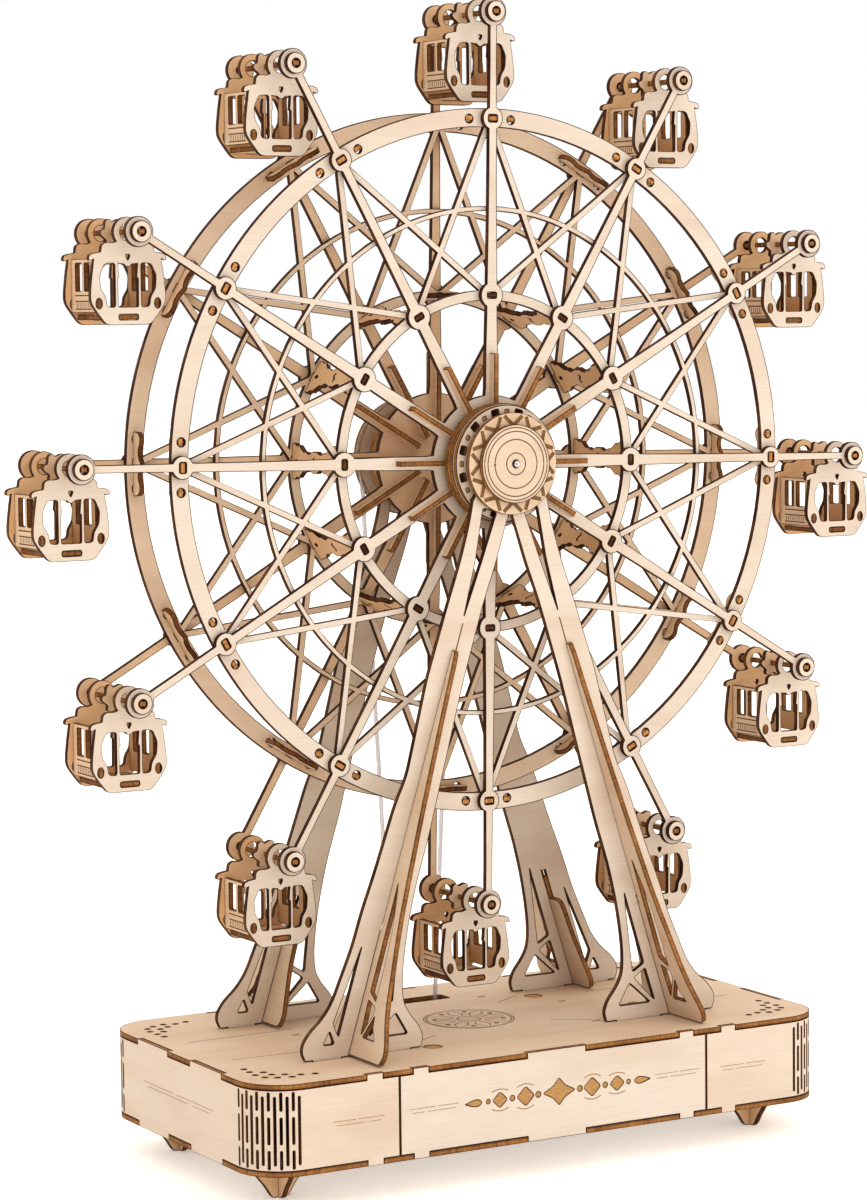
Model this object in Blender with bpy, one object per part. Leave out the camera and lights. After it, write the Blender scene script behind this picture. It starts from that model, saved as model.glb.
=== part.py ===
"""Ferris-wheel music box of laser-cut plywood, with its movement in the base. Metres, +Z up, front towards -Y."""

from math import asin, atan, atan2, cos, pi, radians, sin, sqrt, tau

import bmesh
import bpy
from mathutils import Vector

# Plywood and fits
SHEET = 0.0016
CLEAR = 0.0003
RUN_CLEAR = 0.0005

# Base box
BOX_LENGTH = 0.2148
BOX_DEPTH = 0.1137
BOX_HEIGHT = 0.0291
BOX_CORNER = 0.0156
FOOT_HEIGHT = 0.0113
FOOT_SPAN = 0.018
FOOT_INSET_X = 0.0172
FOOT_INSET_Y = 0.02095
FOOT_WIDTH_SHARES = ((0.0, 0.26), (0.10, 0.40), (0.27, 0.53), (0.57, 0.81), (1.0, 1.0))
SEAM_PLACE = 0.058
TAB_WIDTH = 0.0056
TAB_MIDDLE_WIDTH = 0.022
TAB_OUTER_PLACE = 0.0502
TAB_CORNER_PLACE = 0.0668
END_TAB_WIDTH = 0.0224
END_TAB_PLACE = 0.0195

# A-frames; the outlines are shares of the foot's reach from the centre and of the axle's height over the box
FOOT_REACH = 0.079
HEAD_RADIUS = 0.0155
LEG_CENTRE = 0.0615
LEG_SLOPE = 0.312
LEG_SLOT_HEIGHT = 0.0419
LEG_OUTER_SHARES = (
    (0.985, 0.0), (1.0, 0.015), (0.995, 0.032), (0.962, 0.050), (0.905, 0.066), (0.858, 0.093),
    (0.813, 0.139), (0.761, 0.184), (0.711, 0.250), (0.551, 0.432), (0.501, 0.470), (0.400, 0.638),
    (0.305, 0.757), (0.241, 0.832), (0.197, 0.896), (0.177, 0.938),
)
LEG_INNER_SHARES = (
    (0.0, 0.925), (0.070, 0.832), (0.133, 0.761), (0.234, 0.625), (0.403, 0.365), (0.465, 0.283),
    (0.516, 0.179), (0.534, 0.125), (0.532, 0.085), (0.499, 0.060), (0.454, 0.037), (0.438, 0.015), (0.456, 0.0),
)
LEG_OPENING_SHARES = (
    ((0.227, 0.739), (0.168, 0.835), (0.130, 0.925), (0.066, 0.917), (0.138, 0.835)),
    ((0.539, 0.231), (0.639, 0.099), (0.582, 0.085)),
    ((0.589, 0.074), (0.646, 0.090), (0.692, 0.030)),
    ((0.566, 0.067), (0.671, 0.027), (0.511, 0.027)),
    ((0.716, 0.191), (0.858, 0.059), (0.835, 0.035)),
    ((0.854, 0.027), (0.900, 0.027), (0.873, 0.047)),
)
LEG_TAB_SHARES = ((0.50, 0.72), (0.82, 0.95))
HEAD_START_ANGLE = radians(-36)

# Leg fins; outlines are shares of the reach from the leg's face and of the fin's height
FIN_REACH = 0.0206
FIN_HEIGHT = 0.128
FIN_INNER_REACH = 0.012
FIN_INNER_HEIGHT = 0.0319
FIN_OUTER_SHARES = (
    (0.903, 0.0), (0.961, 0.011), (1.0, 0.027), (0.985, 0.042), (0.913, 0.069), (0.816, 0.098), (0.709, 0.148),
    (0.631, 0.211), (0.534, 0.281), (0.447, 0.359), (0.379, 0.453), (0.301, 0.563), (0.209, 0.727),
    (0.136, 0.867), (0.092, 0.977), (0.034, 1.0),
)
FIN_INNER_SHARES = (
    (0.0, 1.0), (0.40, 1.0), (0.525, 0.972), (0.583, 0.890), (0.650, 0.608), (0.867, 0.317), (1.0, 0.132),
    (0.942, 0.038), (0.775, 0.0),
)
FIN_OPENING_SHARES = (
    ((0.150, 0.430), (0.252, 0.374), (0.335, 0.308), (0.374, 0.215), (0.388, 0.141), (0.150, 0.161)),
    ((0.150, 0.144), (0.398, 0.134), (0.403, 0.111), (0.189, 0.056)),
    ((0.461, 0.111), (0.485, 0.081), (0.636, 0.054), (0.248, 0.055)),
)

# Wheel
SPOKES = 12
WHEEL_PHASE = radians(-1)
LATTICE_PLACE = 0.0157
RING_OUTER_RADIUS = 0.1147
RING_WIDTH = 0.006
THIN_RING_SHARE = 0.46337
THIN_RING_WIDTH = 0.0016
INNER_RING_RADIUS = 0.056
INNER_RING_WIDTH = 0.0034
NODE_INSET = 0.0033
LATH_WIDTH = 0.002
PIVOT_OUTSET = 0.031
SPOKE_ROOT_WIDTH = 0.0045
SPOKE_MIDDLE_WIDTH = 0.0036
SPOKE_TIP_WIDTH = 0.0026
INNER_BOSS_RADIUS = 0.004
OUTER_BOSS_RADIUS = 0.0036
SPOKE_END_RADIUS = 0.00475
HUB_DISC_RADIUS = 0.0219
HUB_FIN_START = 0.008
HUB_FIN_END = 0.0355
HUB_FIN_OUTSET = 0.0031
HUB_FIN_INSET = 0.0026
DRUM_RADIUS = 0.0194
DRUM_DEPTH = 0.0048
HOLED_DISC_RADIUS = 0.0189
TIE_HALF_WIDTH = 0.0058
TIE_SHARES = ((1.0, 1.0), (0.80, 0.60), (0.62, 0.30), (0.66, 0.0))

# Axle and what turns on its ends
SHAFT_RADIUS = 0.0015
SHAFT_PROUD = 0.0009
SUNBURST_RADIUS = 0.0165
CAP_RADIUS = 0.0127
SPACER_LENGTH = 0.003
SPACER_RADIUS = 0.006
PULLEY_WIDTH = 0.004
FLANGE = 0.0009
DRIVEN_FLANGE_RADIUS = 0.0198
BELT_THICKNESS = 0.0015
DRIVEN_BELT_RADIUS = 0.0182
OUTPUT_BELT_RADIUS = 0.0076
OUTPUT_FLANGE_RADIUS = 0.009
BELT_SLOT_LENGTH = 0.025
BELT_SLOT_WIDTH = 0.0072

# Cabins; outlines are shares of the half width and of the drop below the pivot
CABIN_HALF_WIDTH = 0.0134
CABIN_DROP = 0.02865
CABIN_CLEARANCE = 0.01318
CABIN_PLATE_PLACE = 0.0089
CABIN_EAR_RADIUS = 0.0047
CABIN_EAR_START_ANGLE = radians(-20)
CABIN_OUTLINE_SHARES = (
    (0.560, -1.0), (0.955, -0.740), (0.858, -0.300), (1.0, -0.286), (0.687, -0.216), (0.610, -0.118),
)
CABIN_WINDOW_SHARES = ((0.343, -0.335), (0.343, -0.810), (0.600, -0.700), (0.620, -0.339))
CABIN_DOOR_SHARES = ((0.235, -0.339), (0.235, -0.806))
CABIN_SIDE_PLACE = 0.0089
CABIN_SIDE_TOP = 0.0082
CABIN_SIDE_BOTTOM = 0.0246
CABIN_SIDE_WINDOW_TOP = 0.0090
CABIN_SIDE_WINDOW_BOTTOM = 0.0181
CABIN_SIDE_WINDOW_HALF = 0.0059
CABIN_FLOOR_DROP = 0.0254
CABIN_FLOOR_HALF = 0.0086
CABIN_AXLE_RADIUS = 0.0012
CABIN_WASHER_RADIUS = 0.00335
CABIN_WASHER_WIDTH = 0.0016

# Movement in the base
ARBOR_DROP = 0.0145
ARBOR_RADIUS = 0.0012
ARBOR_START = -0.0014
ARBOR_PAST_PULLEY = 0.001
CYLINDER_RADIUS = 0.0065
CYLINDER_START = 0.004
CYLINDER_LENGTH = 0.022
BED_LEFT = -0.028
BED_RIGHT = 0.031
BED_FRONT = -0.013
BED_REAR = 0.031
BED_THICKNESS = 0.0018
POST_FRONT_PLACE = -0.0005
POST_REAR_PLACE = 0.0285
POST_THICKNESS = 0.0015
POST_HALF_WIDTH = 0.005
POST_ABOVE_ARBOR = 0.004
COMB_BLOCK_LEFT = -0.024
COMB_BLOCK_RIGHT = -0.014
COMB_FRONT = 0.005
COMB_LENGTH = 0.020
COMB_THICKNESS = 0.001
COMB_TEETH = 18
COMB_SLIT = 0.0004
SPRING_PLACE_X = 0.019
SPRING_PLACE_Y = 0.016
SPRING_RADIUS = 0.011
SPRING_HEIGHT = 0.010
KEY_STEM_RADIUS = 0.0015
KEY_WING_WIDTH = 0.016
KEY_WING_HEIGHT = 0.0085
KEY_WING_THICKNESS = 0.0012
KEY_BELOW_BOX = 0.0013
GOVERNOR_PLACE_X = 0.011
GOVERNOR_PLACE_Y = -0.004
GOVERNOR_STEM_RADIUS = 0.0006
GOVERNOR_HEIGHT = 0.0132
GOVERNOR_FAN_RADIUS = 0.0045
GOVERNOR_FAN_HEIGHT = 0.006
GOVERNOR_FAN_THICKNESS = 0.0006
GOVERNOR_FAN_TOP_GAP = 0.001
GOVERNOR_POST_DEPTH = 0.0025
GOVERNOR_ARM_HEIGHT = 0.0014
GOVERNOR_ARM_HALF_WIDTH = 0.002

# Levels that follow from the sizes above
HALF_LENGTH = BOX_LENGTH / 2
HALF_DEPTH = BOX_DEPTH / 2
FLOOR_TOP = FOOT_HEIGHT + SHEET
DECK_TOP = FOOT_HEIGHT + BOX_HEIGHT
DECK_UNDER = DECK_TOP - SHEET
PIVOT_RADIUS = RING_OUTER_RADIUS + PIVOT_OUTSET
AXLE_RISE = PIVOT_RADIUS + CABIN_DROP + CABIN_CLEARANCE
AXLE_HEIGHT = DECK_TOP + AXLE_RISE
STAR_PLACE = LATTICE_PLACE + SHEET + CLEAR
DRUM_PLACE = STAR_PLACE + SHEET + HUB_FIN_OUTSET + CLEAR
FRAME_PLACE = DRUM_PLACE + DRUM_DEPTH + SHEET + RUN_CLEAR
FRAME_FACE = FRAME_PLACE + SHEET
PULLEY_PLACE = FRAME_FACE + CLEAR + SPACER_LENGTH
BELT_PLACE = PULLEY_PLACE + PULLEY_WIDTH / 2
SUNBURST_PLACE = FRAME_FACE + CLEAR
CAP_PLACE = SUNBURST_PLACE + SHEET + CLEAR
ARBOR_HEIGHT = DECK_TOP - ARBOR_DROP
BED_UNDER = FLOOR_TOP + CLEAR
BED_TOP = BED_UNDER + BED_THICKNESS
FOOT_PLACE_X = HALF_LENGTH - FOOT_INSET_X
FOOT_PLACE_Y = HALF_DEPTH - FOOT_INSET_Y
NODE_RADIUS = RING_OUTER_RADIUS - NODE_INSET
INNER_NODE_RADIUS = INNER_RING_RADIUS - INNER_RING_WIDTH / 2
THIN_RING_RADIUS = INNER_RING_RADIUS + THIN_RING_SHARE * (RING_OUTER_RADIUS - INNER_RING_RADIUS)
LEG_TILT = atan(LEG_SLOPE)
SECTOR = tau / SPOKES

BIRCH = ((0.80, 0.62, 0.42), 0.75, 0.0)
BURNT_BIRCH = ((0.62, 0.42, 0.25), 0.8, 0.0)
STEEL = ((0.60, 0.60, 0.62), 0.3, 1.0)
BRASS = ((0.78, 0.58, 0.28), 0.3, 1.0)
CLEAR_BAND = ((0.80, 0.78, 0.86), 0.4, 0.0)


# Placing: each function takes (u, v, w) of a flat drawing and gives the point in space
def upright(u, v, w):
    """Drawing seen from the front: u to the right, v up, w into the picture."""
    return Vector((u, w, v))


def level(u, v, w):
    """Drawing seen from above: u to the right, v to the rear, w up."""
    return Vector((u, v, w))


def sideways(u, v, w):
    """Drawing seen from the left: u to the rear, v up, w to the right."""
    return Vector((w, u, v))


def turned_by(angle):
    """The upright placing, turned about the drawing's own origin."""

    def placed(u, v, w):
        return upright(u * cos(angle) - v * sin(angle), u * sin(angle) + v * cos(angle), w)

    return placed


def moved_by(point, place):
    """The same placing, shifted to another origin."""

    def placed(u, v, w):
        return place(u, v, w) + Vector(point)

    return placed


def across_spoke(angle, radius):
    """Drawing on a tangential plane of the wheel: u along the tangent, v along the axle, w outwards."""
    outward = Vector((cos(angle), 0.0, sin(angle)))
    tangent = Vector((-sin(angle), 0.0, cos(angle)))

    def placed(u, v, w):
        return outward * (radius + w) + tangent * u + Vector((0.0, v, 0.0))

    return placed


# Flat outlines
def rectangle(left, bottom, right, top):
    return [(left, bottom), (right, bottom), (right, top), (left, top)]


def arc(centre, radius, start, end, steps):
    angles = [start + (end - start) * i / steps for i in range(steps + 1)]
    return [(centre[0] + radius * cos(a), centre[1] + radius * sin(a)) for a in angles]


def circle(centre, radius, sides):
    return arc(centre, radius, 0.0, tau, sides)[:-1]


def mirrored(points):
    return [(-u, v) for u, v in reversed(points)]


def turned_points(points, angle):
    return [(u * cos(angle) - v * sin(angle), u * sin(angle) + v * cos(angle)) for u, v in points]


# Solids
def add_prism(mesh, loops, low, high, place):
    """A flat sheet with holes: the first loop is its outline, and it lies between low and high."""
    edges = []
    for loop in loops:
        corners = [mesh.verts.new(place(u, v, low)) for u, v in loop]
        edges += [mesh.edges.new(pair) for pair in zip(corners, corners[1:] + corners[:1])]
    across = place(0.0, 0.0, high) - place(0.0, 0.0, low)
    filled = bmesh.ops.triangle_fill(mesh, use_beauty=True, edges=edges, normal=across.normalized())
    faces = [item for item in filled["geom"] if isinstance(item, bmesh.types.BMFace)]
    raised = bmesh.ops.extrude_face_region(mesh, geom=faces)
    corners = [item for item in raised["geom"] if isinstance(item, bmesh.types.BMVert)]
    bmesh.ops.translate(mesh, verts=corners, vec=across)


def add_turned(mesh, profile, place, sides):
    """A turned solid: a closed profile of radius and height, spun about the drawing's w axis."""
    corners = [mesh.verts.new(place(radius, 0.0, height)) for radius, height in profile]
    edges = [mesh.edges.new(pair) for pair in zip(corners, corners[1:] + corners[:1])]
    centre = place(0.0, 0.0, 0.0)
    axis = place(0.0, 0.0, SHEET) - centre
    spun = corners + edges
    bmesh.ops.spin(mesh, geom=spun, cent=centre, axis=axis.normalized(), angle=tau, steps=sides, use_merge=True)


def add_rod(mesh, radius, low, high, place, sides):
    add_prism(mesh, [circle((0.0, 0.0), radius, sides)], low, high, place)


def add_block(mesh, low, high):
    add_prism(mesh, [rectangle(low[0], low[1], high[0], high[1])], low[2], high[2], level)


def paint(thing, finish):
    colour, roughness, metallic = finish
    material = bpy.data.materials.new(thing.name)
    material.use_nodes = True
    shader = material.node_tree.nodes["Principled BSDF"]
    shader.inputs["Base Color"].default_value = (*colour, 1.0)
    shader.inputs["Roughness"].default_value = roughness
    shader.inputs["Metallic"].default_value = metallic
    thing.data.materials.append(material)


def new_object(name, mesh):
    bmesh.ops.recalc_face_normals(mesh, faces=mesh.faces[:])
    data = bpy.data.meshes.new(name)
    mesh.to_mesh(data)
    mesh.free()
    thing = bpy.data.objects.new(name, data)
    bpy.context.scene.collection.objects.link(thing)
    return thing


def combine(thing, mesh, operation):
    """Joins a second solid to an object, or cuts it away, and keeps the result as the object's mesh."""
    tool = new_object(thing.name + "_tool", mesh)
    tool.hide_render = True
    tool.display_type = "WIRE"
    modifier = thing.modifiers.new(operation.lower(), "BOOLEAN")
    modifier.operation = operation
    modifier.solver = "EXACT"
    modifier.object = tool
    evaluated = thing.evaluated_get(bpy.context.evaluated_depsgraph_get())
    result = bpy.data.meshes.new_from_object(evaluated)
    thing.modifiers.clear()
    thing.data = result
    bpy.data.objects.remove(tool, do_unlink=True)


def part(name, mesh, finish, parent=None, joined=None, cut=None, smooth=False):
    """One named piece; its mesh is drawn about the parent's origin when it has a parent."""
    thing = new_object(name, mesh)
    if joined:
        combine(thing, joined, "UNION")
    if cut:
        combine(thing, cut, "DIFFERENCE")
    paint(thing, finish)
    if smooth:
        thing.data.shade_smooth()
        thing.data.set_sharp_from_angle(angle=radians(35))
    thing.parent = parent
    return thing


def axis_empty(name, place, parent=None):
    empty = bpy.data.objects.new(name, None)
    empty.location = place
    empty.parent = parent
    bpy.context.scene.collection.objects.link(empty)
    return empty


# Base box
def notched_side(length, depth, notches):
    """A straight side from left to right along v = 0, with square notches cut up into the sheet."""
    points = [(-length / 2, 0.0)]
    for centre, width in sorted(notches):
        left = centre - width / 2 - CLEAR
        right = centre + width / 2 + CLEAR
        points += [(left, 0.0), (left, depth), (right, depth), (right, 0.0)]
    return points + [(length / 2, 0.0)]


def long_side_tabs():
    places = (TAB_OUTER_PLACE, TAB_CORNER_PLACE)
    return [(0.0, TAB_MIDDLE_WIDTH)] + [(side * place, TAB_WIDTH) for place in places for side in (-1, 1)]


def end_side_tabs():
    return [(side * END_TAB_PLACE, END_TAB_WIDTH) for side in (-1, 1)]


def deck_outline():
    """The outline shared by the box's two plates: round corners, and a notch for each wall tab."""
    depth = SHEET + CLEAR
    front = notched_side(BOX_LENGTH - 2 * BOX_CORNER, depth, long_side_tabs())
    end = notched_side(BOX_DEPTH - 2 * BOX_CORNER, depth, end_side_tabs())
    points = []
    for turn in range(4):
        side = front if turn % 2 == 0 else end
        inset = HALF_DEPTH if turn % 2 == 0 else HALF_LENGTH
        quarter = turned_points([(u, v - inset) for u, v in side], turn * pi / 2)
        points += quarter
        reach_u = HALF_LENGTH - BOX_CORNER
        reach_v = HALF_DEPTH - BOX_CORNER
        corner = ((reach_u, -reach_v), (reach_u, reach_v), (-reach_u, reach_v), (-reach_u, -reach_v))[turn]
        start = (turn - 1) * pi / 2
        points += arc(corner, BOX_CORNER, start, start + pi / 2, 6)[1:-1]
    return points


def leg_tab_spans():
    return [(start * FOOT_REACH, end * FOOT_REACH) for start, end in LEG_TAB_SHARES]


def build_plates():
    mesh = bmesh.new()
    key_hole = circle((SPRING_PLACE_X, SPRING_PLACE_Y), KEY_STEM_RADIUS + CLEAR, 16)
    add_prism(mesh, [deck_outline(), key_hole], FOOT_HEIGHT, FLOOR_TOP, level)
    part("base_bottom_plate", mesh, BIRCH)
    holes = []
    for place in (-FRAME_PLACE - SHEET, FRAME_PLACE):
        for side in (-1, 1):
            for start, end in leg_tab_spans():
                edges = sorted((side * (start - CLEAR), side * (end + CLEAR)))
                holes.append(rectangle(edges[0], place - CLEAR, edges[1], place + SHEET + CLEAR))
    slot_front = BELT_PLACE - BELT_SLOT_WIDTH / 2
    slot_rear = BELT_PLACE + BELT_SLOT_WIDTH / 2
    holes.append(rectangle(-BELT_SLOT_LENGTH / 2, slot_front, BELT_SLOT_LENGTH / 2, slot_rear))
    mesh = bmesh.new()
    add_prism(mesh, [deck_outline(), *holes], DECK_UNDER, DECK_TOP, level)
    part("base_top_plate", mesh, BIRCH)


def add_wall(mesh, outer, inner, tabs):
    """An upright wall between two lines of points, with tabs up and down on the numbered stretches."""
    low = FLOOR_TOP + CLEAR
    high = DECK_UNDER - CLEAR
    outer_corners = [mesh.verts.new((u, v, low)) for u, v in outer]
    inner_corners = [mesh.verts.new((u, v, low)) for u, v in inner]
    strip = []
    for i in range(len(outer) - 1):
        quad = (outer_corners[i], outer_corners[i + 1], inner_corners[i + 1], inner_corners[i])
        strip.append(mesh.faces.new(quad))
    raised = bmesh.ops.extrude_face_region(mesh, geom=strip)
    roof = [item for item in raised["geom"] if isinstance(item, bmesh.types.BMFace)]
    corners = [item for item in raised["geom"] if isinstance(item, bmesh.types.BMVert)]
    bmesh.ops.translate(mesh, verts=corners, vec=(0.0, 0.0, high - low))
    middles = [strip[i].calc_center_median() for i in tabs]
    ends = ((roof, DECK_TOP - high), (strip, FOOT_HEIGHT - low))
    for faces, rise in ends:
        chosen = [f for f in faces for m in middles if (f.calc_center_median() - m).xy.length < CLEAR]
        for face in chosen:
            tab = bmesh.ops.extrude_discrete_faces(mesh, faces=[face])["faces"][0]
            bmesh.ops.translate(mesh, verts=tab.verts, vec=(0.0, 0.0, rise))


def front_wall_lines():
    edges = [-SEAM_PLACE + CLEAR]
    for place, width in ((-TAB_OUTER_PLACE, TAB_WIDTH), (0.0, TAB_MIDDLE_WIDTH), (TAB_OUTER_PLACE, TAB_WIDTH)):
        edges += [place - width / 2, place + width / 2]
    edges.append(SEAM_PLACE - CLEAR)
    outer = [(u, -HALF_DEPTH) for u in edges]
    inner = [(u, -HALF_DEPTH + SHEET) for u in edges]
    return outer, inner, (1, 3, 5)


def end_wall_line(inset):
    """The right end wall's line at one depth in the sheet, from the front seam round to the rear one."""
    reach_u = HALF_LENGTH - BOX_CORNER
    reach_v = HALF_DEPTH - BOX_CORNER
    start = TAB_CORNER_PLACE - TAB_WIDTH / 2
    front = [(u, inset - HALF_DEPTH) for u in (SEAM_PLACE + CLEAR, start, start + TAB_WIDTH)]
    bend = arc((reach_u, -reach_v), BOX_CORNER - inset, -pi / 2, 0.0, 6)
    half = END_TAB_WIDTH / 2
    side = [(HALF_LENGTH - inset, v) for v in (-END_TAB_PLACE - half, -END_TAB_PLACE + half)]
    lower = front + bend + side
    return lower + [(u, -v) for u, v in reversed(lower)]


def build_walls():
    outer, inner, tabs = front_wall_lines()
    for name, side in (("front_panel", 1), ("rear_panel", -1)):
        mesh = bmesh.new()
        add_wall(mesh, [(u * side, v * side) for u, v in outer], [(u * side, v * side) for u, v in inner], tabs)
        part(name, mesh, BIRCH)
    outer = end_wall_line(0.0)
    inner = end_wall_line(SHEET)
    last = len(outer) - 2
    tabs = (1, 10, last - 10, last - 1)
    for name, side in (("right_end_wall", 1), ("left_end_wall", -1)):
        mesh = bmesh.new()
        add_wall(mesh, [(u * side, v) for u, v in outer], [(u * side, v) for u, v in inner], tabs)
        part(name, mesh, BIRCH)


def build_foot(name, centre):
    """Two plates that cross; each level's section is a cross with the same arm thickness."""
    mesh = bmesh.new()
    half = SHEET / 2
    height = FOOT_HEIGHT - CLEAR
    rings = []
    for rise_share, width_share in FOOT_WIDTH_SHARES:
        reach = width_share * FOOT_SPAN / 2
        arm = [(reach, -half), (reach, half), (half, half)]
        cross = [point for turn in range(4) for point in turned_points(arm, turn * pi / 2)]
        z = rise_share * height
        rings.append([mesh.verts.new((centre[0] + u, centre[1] + v, z)) for u, v in cross])
    for lower, upper in zip(rings, rings[1:]):
        for i in range(len(lower)):
            mesh.faces.new((lower[i - 1], lower[i], upper[i], upper[i - 1]))
    mesh.faces.new(rings[0])
    mesh.faces.new(rings[-1])
    part(name, mesh, BURNT_BIRCH)


# A-frames and their fins
def leg_point(share):
    return (share[0] * FOOT_REACH, share[1] * AXLE_RISE)


def leg_line(height):
    """How far the leg's centre line stands from the middle at one height over the box."""
    return LEG_CENTRE - LEG_SLOPE * height


def half_frame_outline():
    """The right half of an A-frame, from the crotch down the inner edge and up the outer one to the top."""
    inner = [leg_point(share) for share in LEG_INNER_SHARES]
    outer = [leg_point(share) for share in LEG_OUTER_SHARES]
    inner[-1] = (inner[-1][0], CLEAR)
    outer[0] = (outer[0][0], CLEAR)
    slot = (SHEET / 2 + CLEAR) / cos(LEG_TILT)
    points = inner
    spans = leg_tab_spans()
    points += [(spans[0][0], CLEAR), (spans[0][0], -SHEET), (spans[0][1], -SHEET), (spans[0][1], CLEAR)]
    points += [(leg_line(CLEAR) - slot, CLEAR), (leg_line(LEG_SLOT_HEIGHT) - slot, LEG_SLOT_HEIGHT)]
    points += [(leg_line(LEG_SLOT_HEIGHT) + slot, LEG_SLOT_HEIGHT), (leg_line(CLEAR) + slot, CLEAR)]
    points += [(spans[1][0], CLEAR), (spans[1][0], -SHEET), (spans[1][1], -SHEET), (spans[1][1], CLEAR)]
    return points + outer + arc((0.0, AXLE_RISE), HEAD_RADIUS, HEAD_START_ANGLE, pi / 2, 8)


def build_a_frame(name, place):
    half = half_frame_outline()
    openings = [[leg_point(share) for share in shares] for shares in LEG_OPENING_SHARES]
    loops = [half + mirrored(half)[1:-1]]
    loops += openings + [mirrored(points) for points in openings]
    loops.append(circle((0.0, AXLE_RISE), SHAFT_RADIUS + CLEAR, 16))
    mesh = bmesh.new()
    add_prism(mesh, loops, place, place + SHEET, moved_by((0.0, 0.0, DECK_TOP), upright))
    part(name, mesh, BIRCH)


def build_leg_fin(name, side, facing):
    """A plate square to its leg: side is +1 on the right, facing is -1 in front and +1 behind."""
    foot = (CLEAR + SHEET / 2 * sin(LEG_TILT)) / cos(LEG_TILT)
    outer_face = FRAME_FACE + CLEAR
    inner_face = FRAME_PLACE - CLEAR
    lock = (LEG_SLOT_HEIGHT - 2 * CLEAR - SHEET / 2 * sin(LEG_TILT)) / cos(LEG_TILT)
    rise = FIN_HEIGHT / cos(LEG_TILT) - foot
    inner_rise = FIN_INNER_HEIGHT / cos(LEG_TILT) - foot
    outline = [(outer_face + u * FIN_REACH, foot + v * rise) for u, v in FIN_OUTER_SHARES]
    outline += [(outer_face, foot + rise), (outer_face, lock), (inner_face, lock)]
    outline += [(inner_face - u * FIN_INNER_REACH, foot + v * inner_rise) for u, v in FIN_INNER_SHARES]
    openings = [
        [(outer_face + u * FIN_REACH, foot + v * rise) for u, v in shares] for shares in FIN_OPENING_SHARES
    ]

    def leaning(u, v, w):
        along = side * (LEG_CENTRE - v * sin(LEG_TILT) + w * cos(LEG_TILT))
        return Vector((along, facing * u, DECK_TOP + v * cos(LEG_TILT) + w * sin(LEG_TILT)))

    mesh = bmesh.new()
    add_prism(mesh, [outline, *openings], -SHEET / 2, SHEET / 2, leaning)
    part(name, mesh, BIRCH)


# Wheel
def polar(radius, angle):
    return Vector((radius * cos(angle), radius * sin(angle)))


def lath_edge(outer_node, inner_node, side):
    """One long edge of the lath between two numbered nodes, as a point and a direction: side +1 is its left."""
    start = polar(NODE_RADIUS, outer_node * SECTOR)
    along = (polar(INNER_NODE_RADIUS, inner_node * SECTOR) - start).normalized()
    return start + Vector((-along.y, along.x)) * side * LATH_WIDTH / 2, along


def meeting(first, second):
    """Where two edges meet."""
    gap = second[0] - first[0]
    step = (gap.x * second[1].y - gap.y * second[1].x) / (first[1].x * second[1].y - first[1].y * second[1].x)
    return first[0] + first[1] * step


def at_radius(edge, radius):
    """Where an edge that runs inwards meets a ring."""
    start, along = edge
    inward = start.dot(along)
    step = -inward - sqrt(inward * inward - start.length_squared + radius * radius)
    return start + along * step


def ring_points(radius, first, last, steps):
    return [Vector(p) for p in arc((0.0, 0.0), radius, atan2(first.y, first.x), atan2(last.y, last.x), steps)]


def lattice_openings():
    """The openings of one sector about the spoke at angle zero, between the rings and the crossing laths."""
    under_ring = RING_OUTER_RADIUS - RING_WIDTH
    over_thin = THIN_RING_RADIUS
    under_thin = THIN_RING_RADIUS - THIN_RING_WIDTH
    over_inner = INNER_RING_RADIUS
    rising = lath_edge(0, 1, 1)
    rising_far = lath_edge(0, 1, -1)
    falling = lath_edge(1, 0, 1)
    falling_far = lath_edge(1, 0, -1)
    left = lath_edge(0, -1, -1)
    left_low = lath_edge(-1, 0, -1)
    by_spoke = [meeting(rising, left)]
    by_spoke += ring_points(over_thin, at_radius(left, over_thin), at_radius(rising, over_thin), 1)
    between = ring_points(under_ring, at_radius(rising_far, under_ring), at_radius(falling, under_ring), 2)
    between += ring_points(over_thin, at_radius(falling, over_thin), at_radius(rising_far, over_thin), 2)
    wedge = ring_points(under_thin, at_radius(rising_far, under_thin), at_radius(falling, under_thin), 1)
    wedge.append(meeting(rising_far, falling))
    kite = ring_points(under_thin, at_radius(left, under_thin), at_radius(rising, under_thin), 2)
    kite += [meeting(rising, falling), at_radius(falling, over_inner)]
    kite += [at_radius(left_low, over_inner), meeting(left, left_low)]
    foot = ring_points(over_inner, at_radius(falling_far, over_inner), at_radius(rising, over_inner), 2)
    foot.append(meeting(rising, falling_far))
    return [by_spoke, between, wedge, kite, foot]


def build_lattice(name, wheel, low):
    loops = [circle((0.0, 0.0), RING_OUTER_RADIUS, 48)]
    loops.append(circle((0.0, 0.0), INNER_RING_RADIUS - INNER_RING_WIDTH, 24))
    sector = [[(p.x, p.y) for p in opening] for opening in lattice_openings()]
    for k in range(SPOKES):
        loops += [turned_points(opening, k * SECTOR) for opening in sector]
    mesh = bmesh.new()
    add_prism(mesh, loops, low, low + SHEET, turned_by(WHEEL_PHASE))
    part(name, mesh, BIRCH, wheel)


def boss_arc(place, radius, before, after, steps):
    """The lower half of a boss on a spoke that has one half width before it and another after it."""
    return arc((place, 0.0), radius, pi + asin(before / radius), tau - asin(after / radius), steps)


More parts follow.
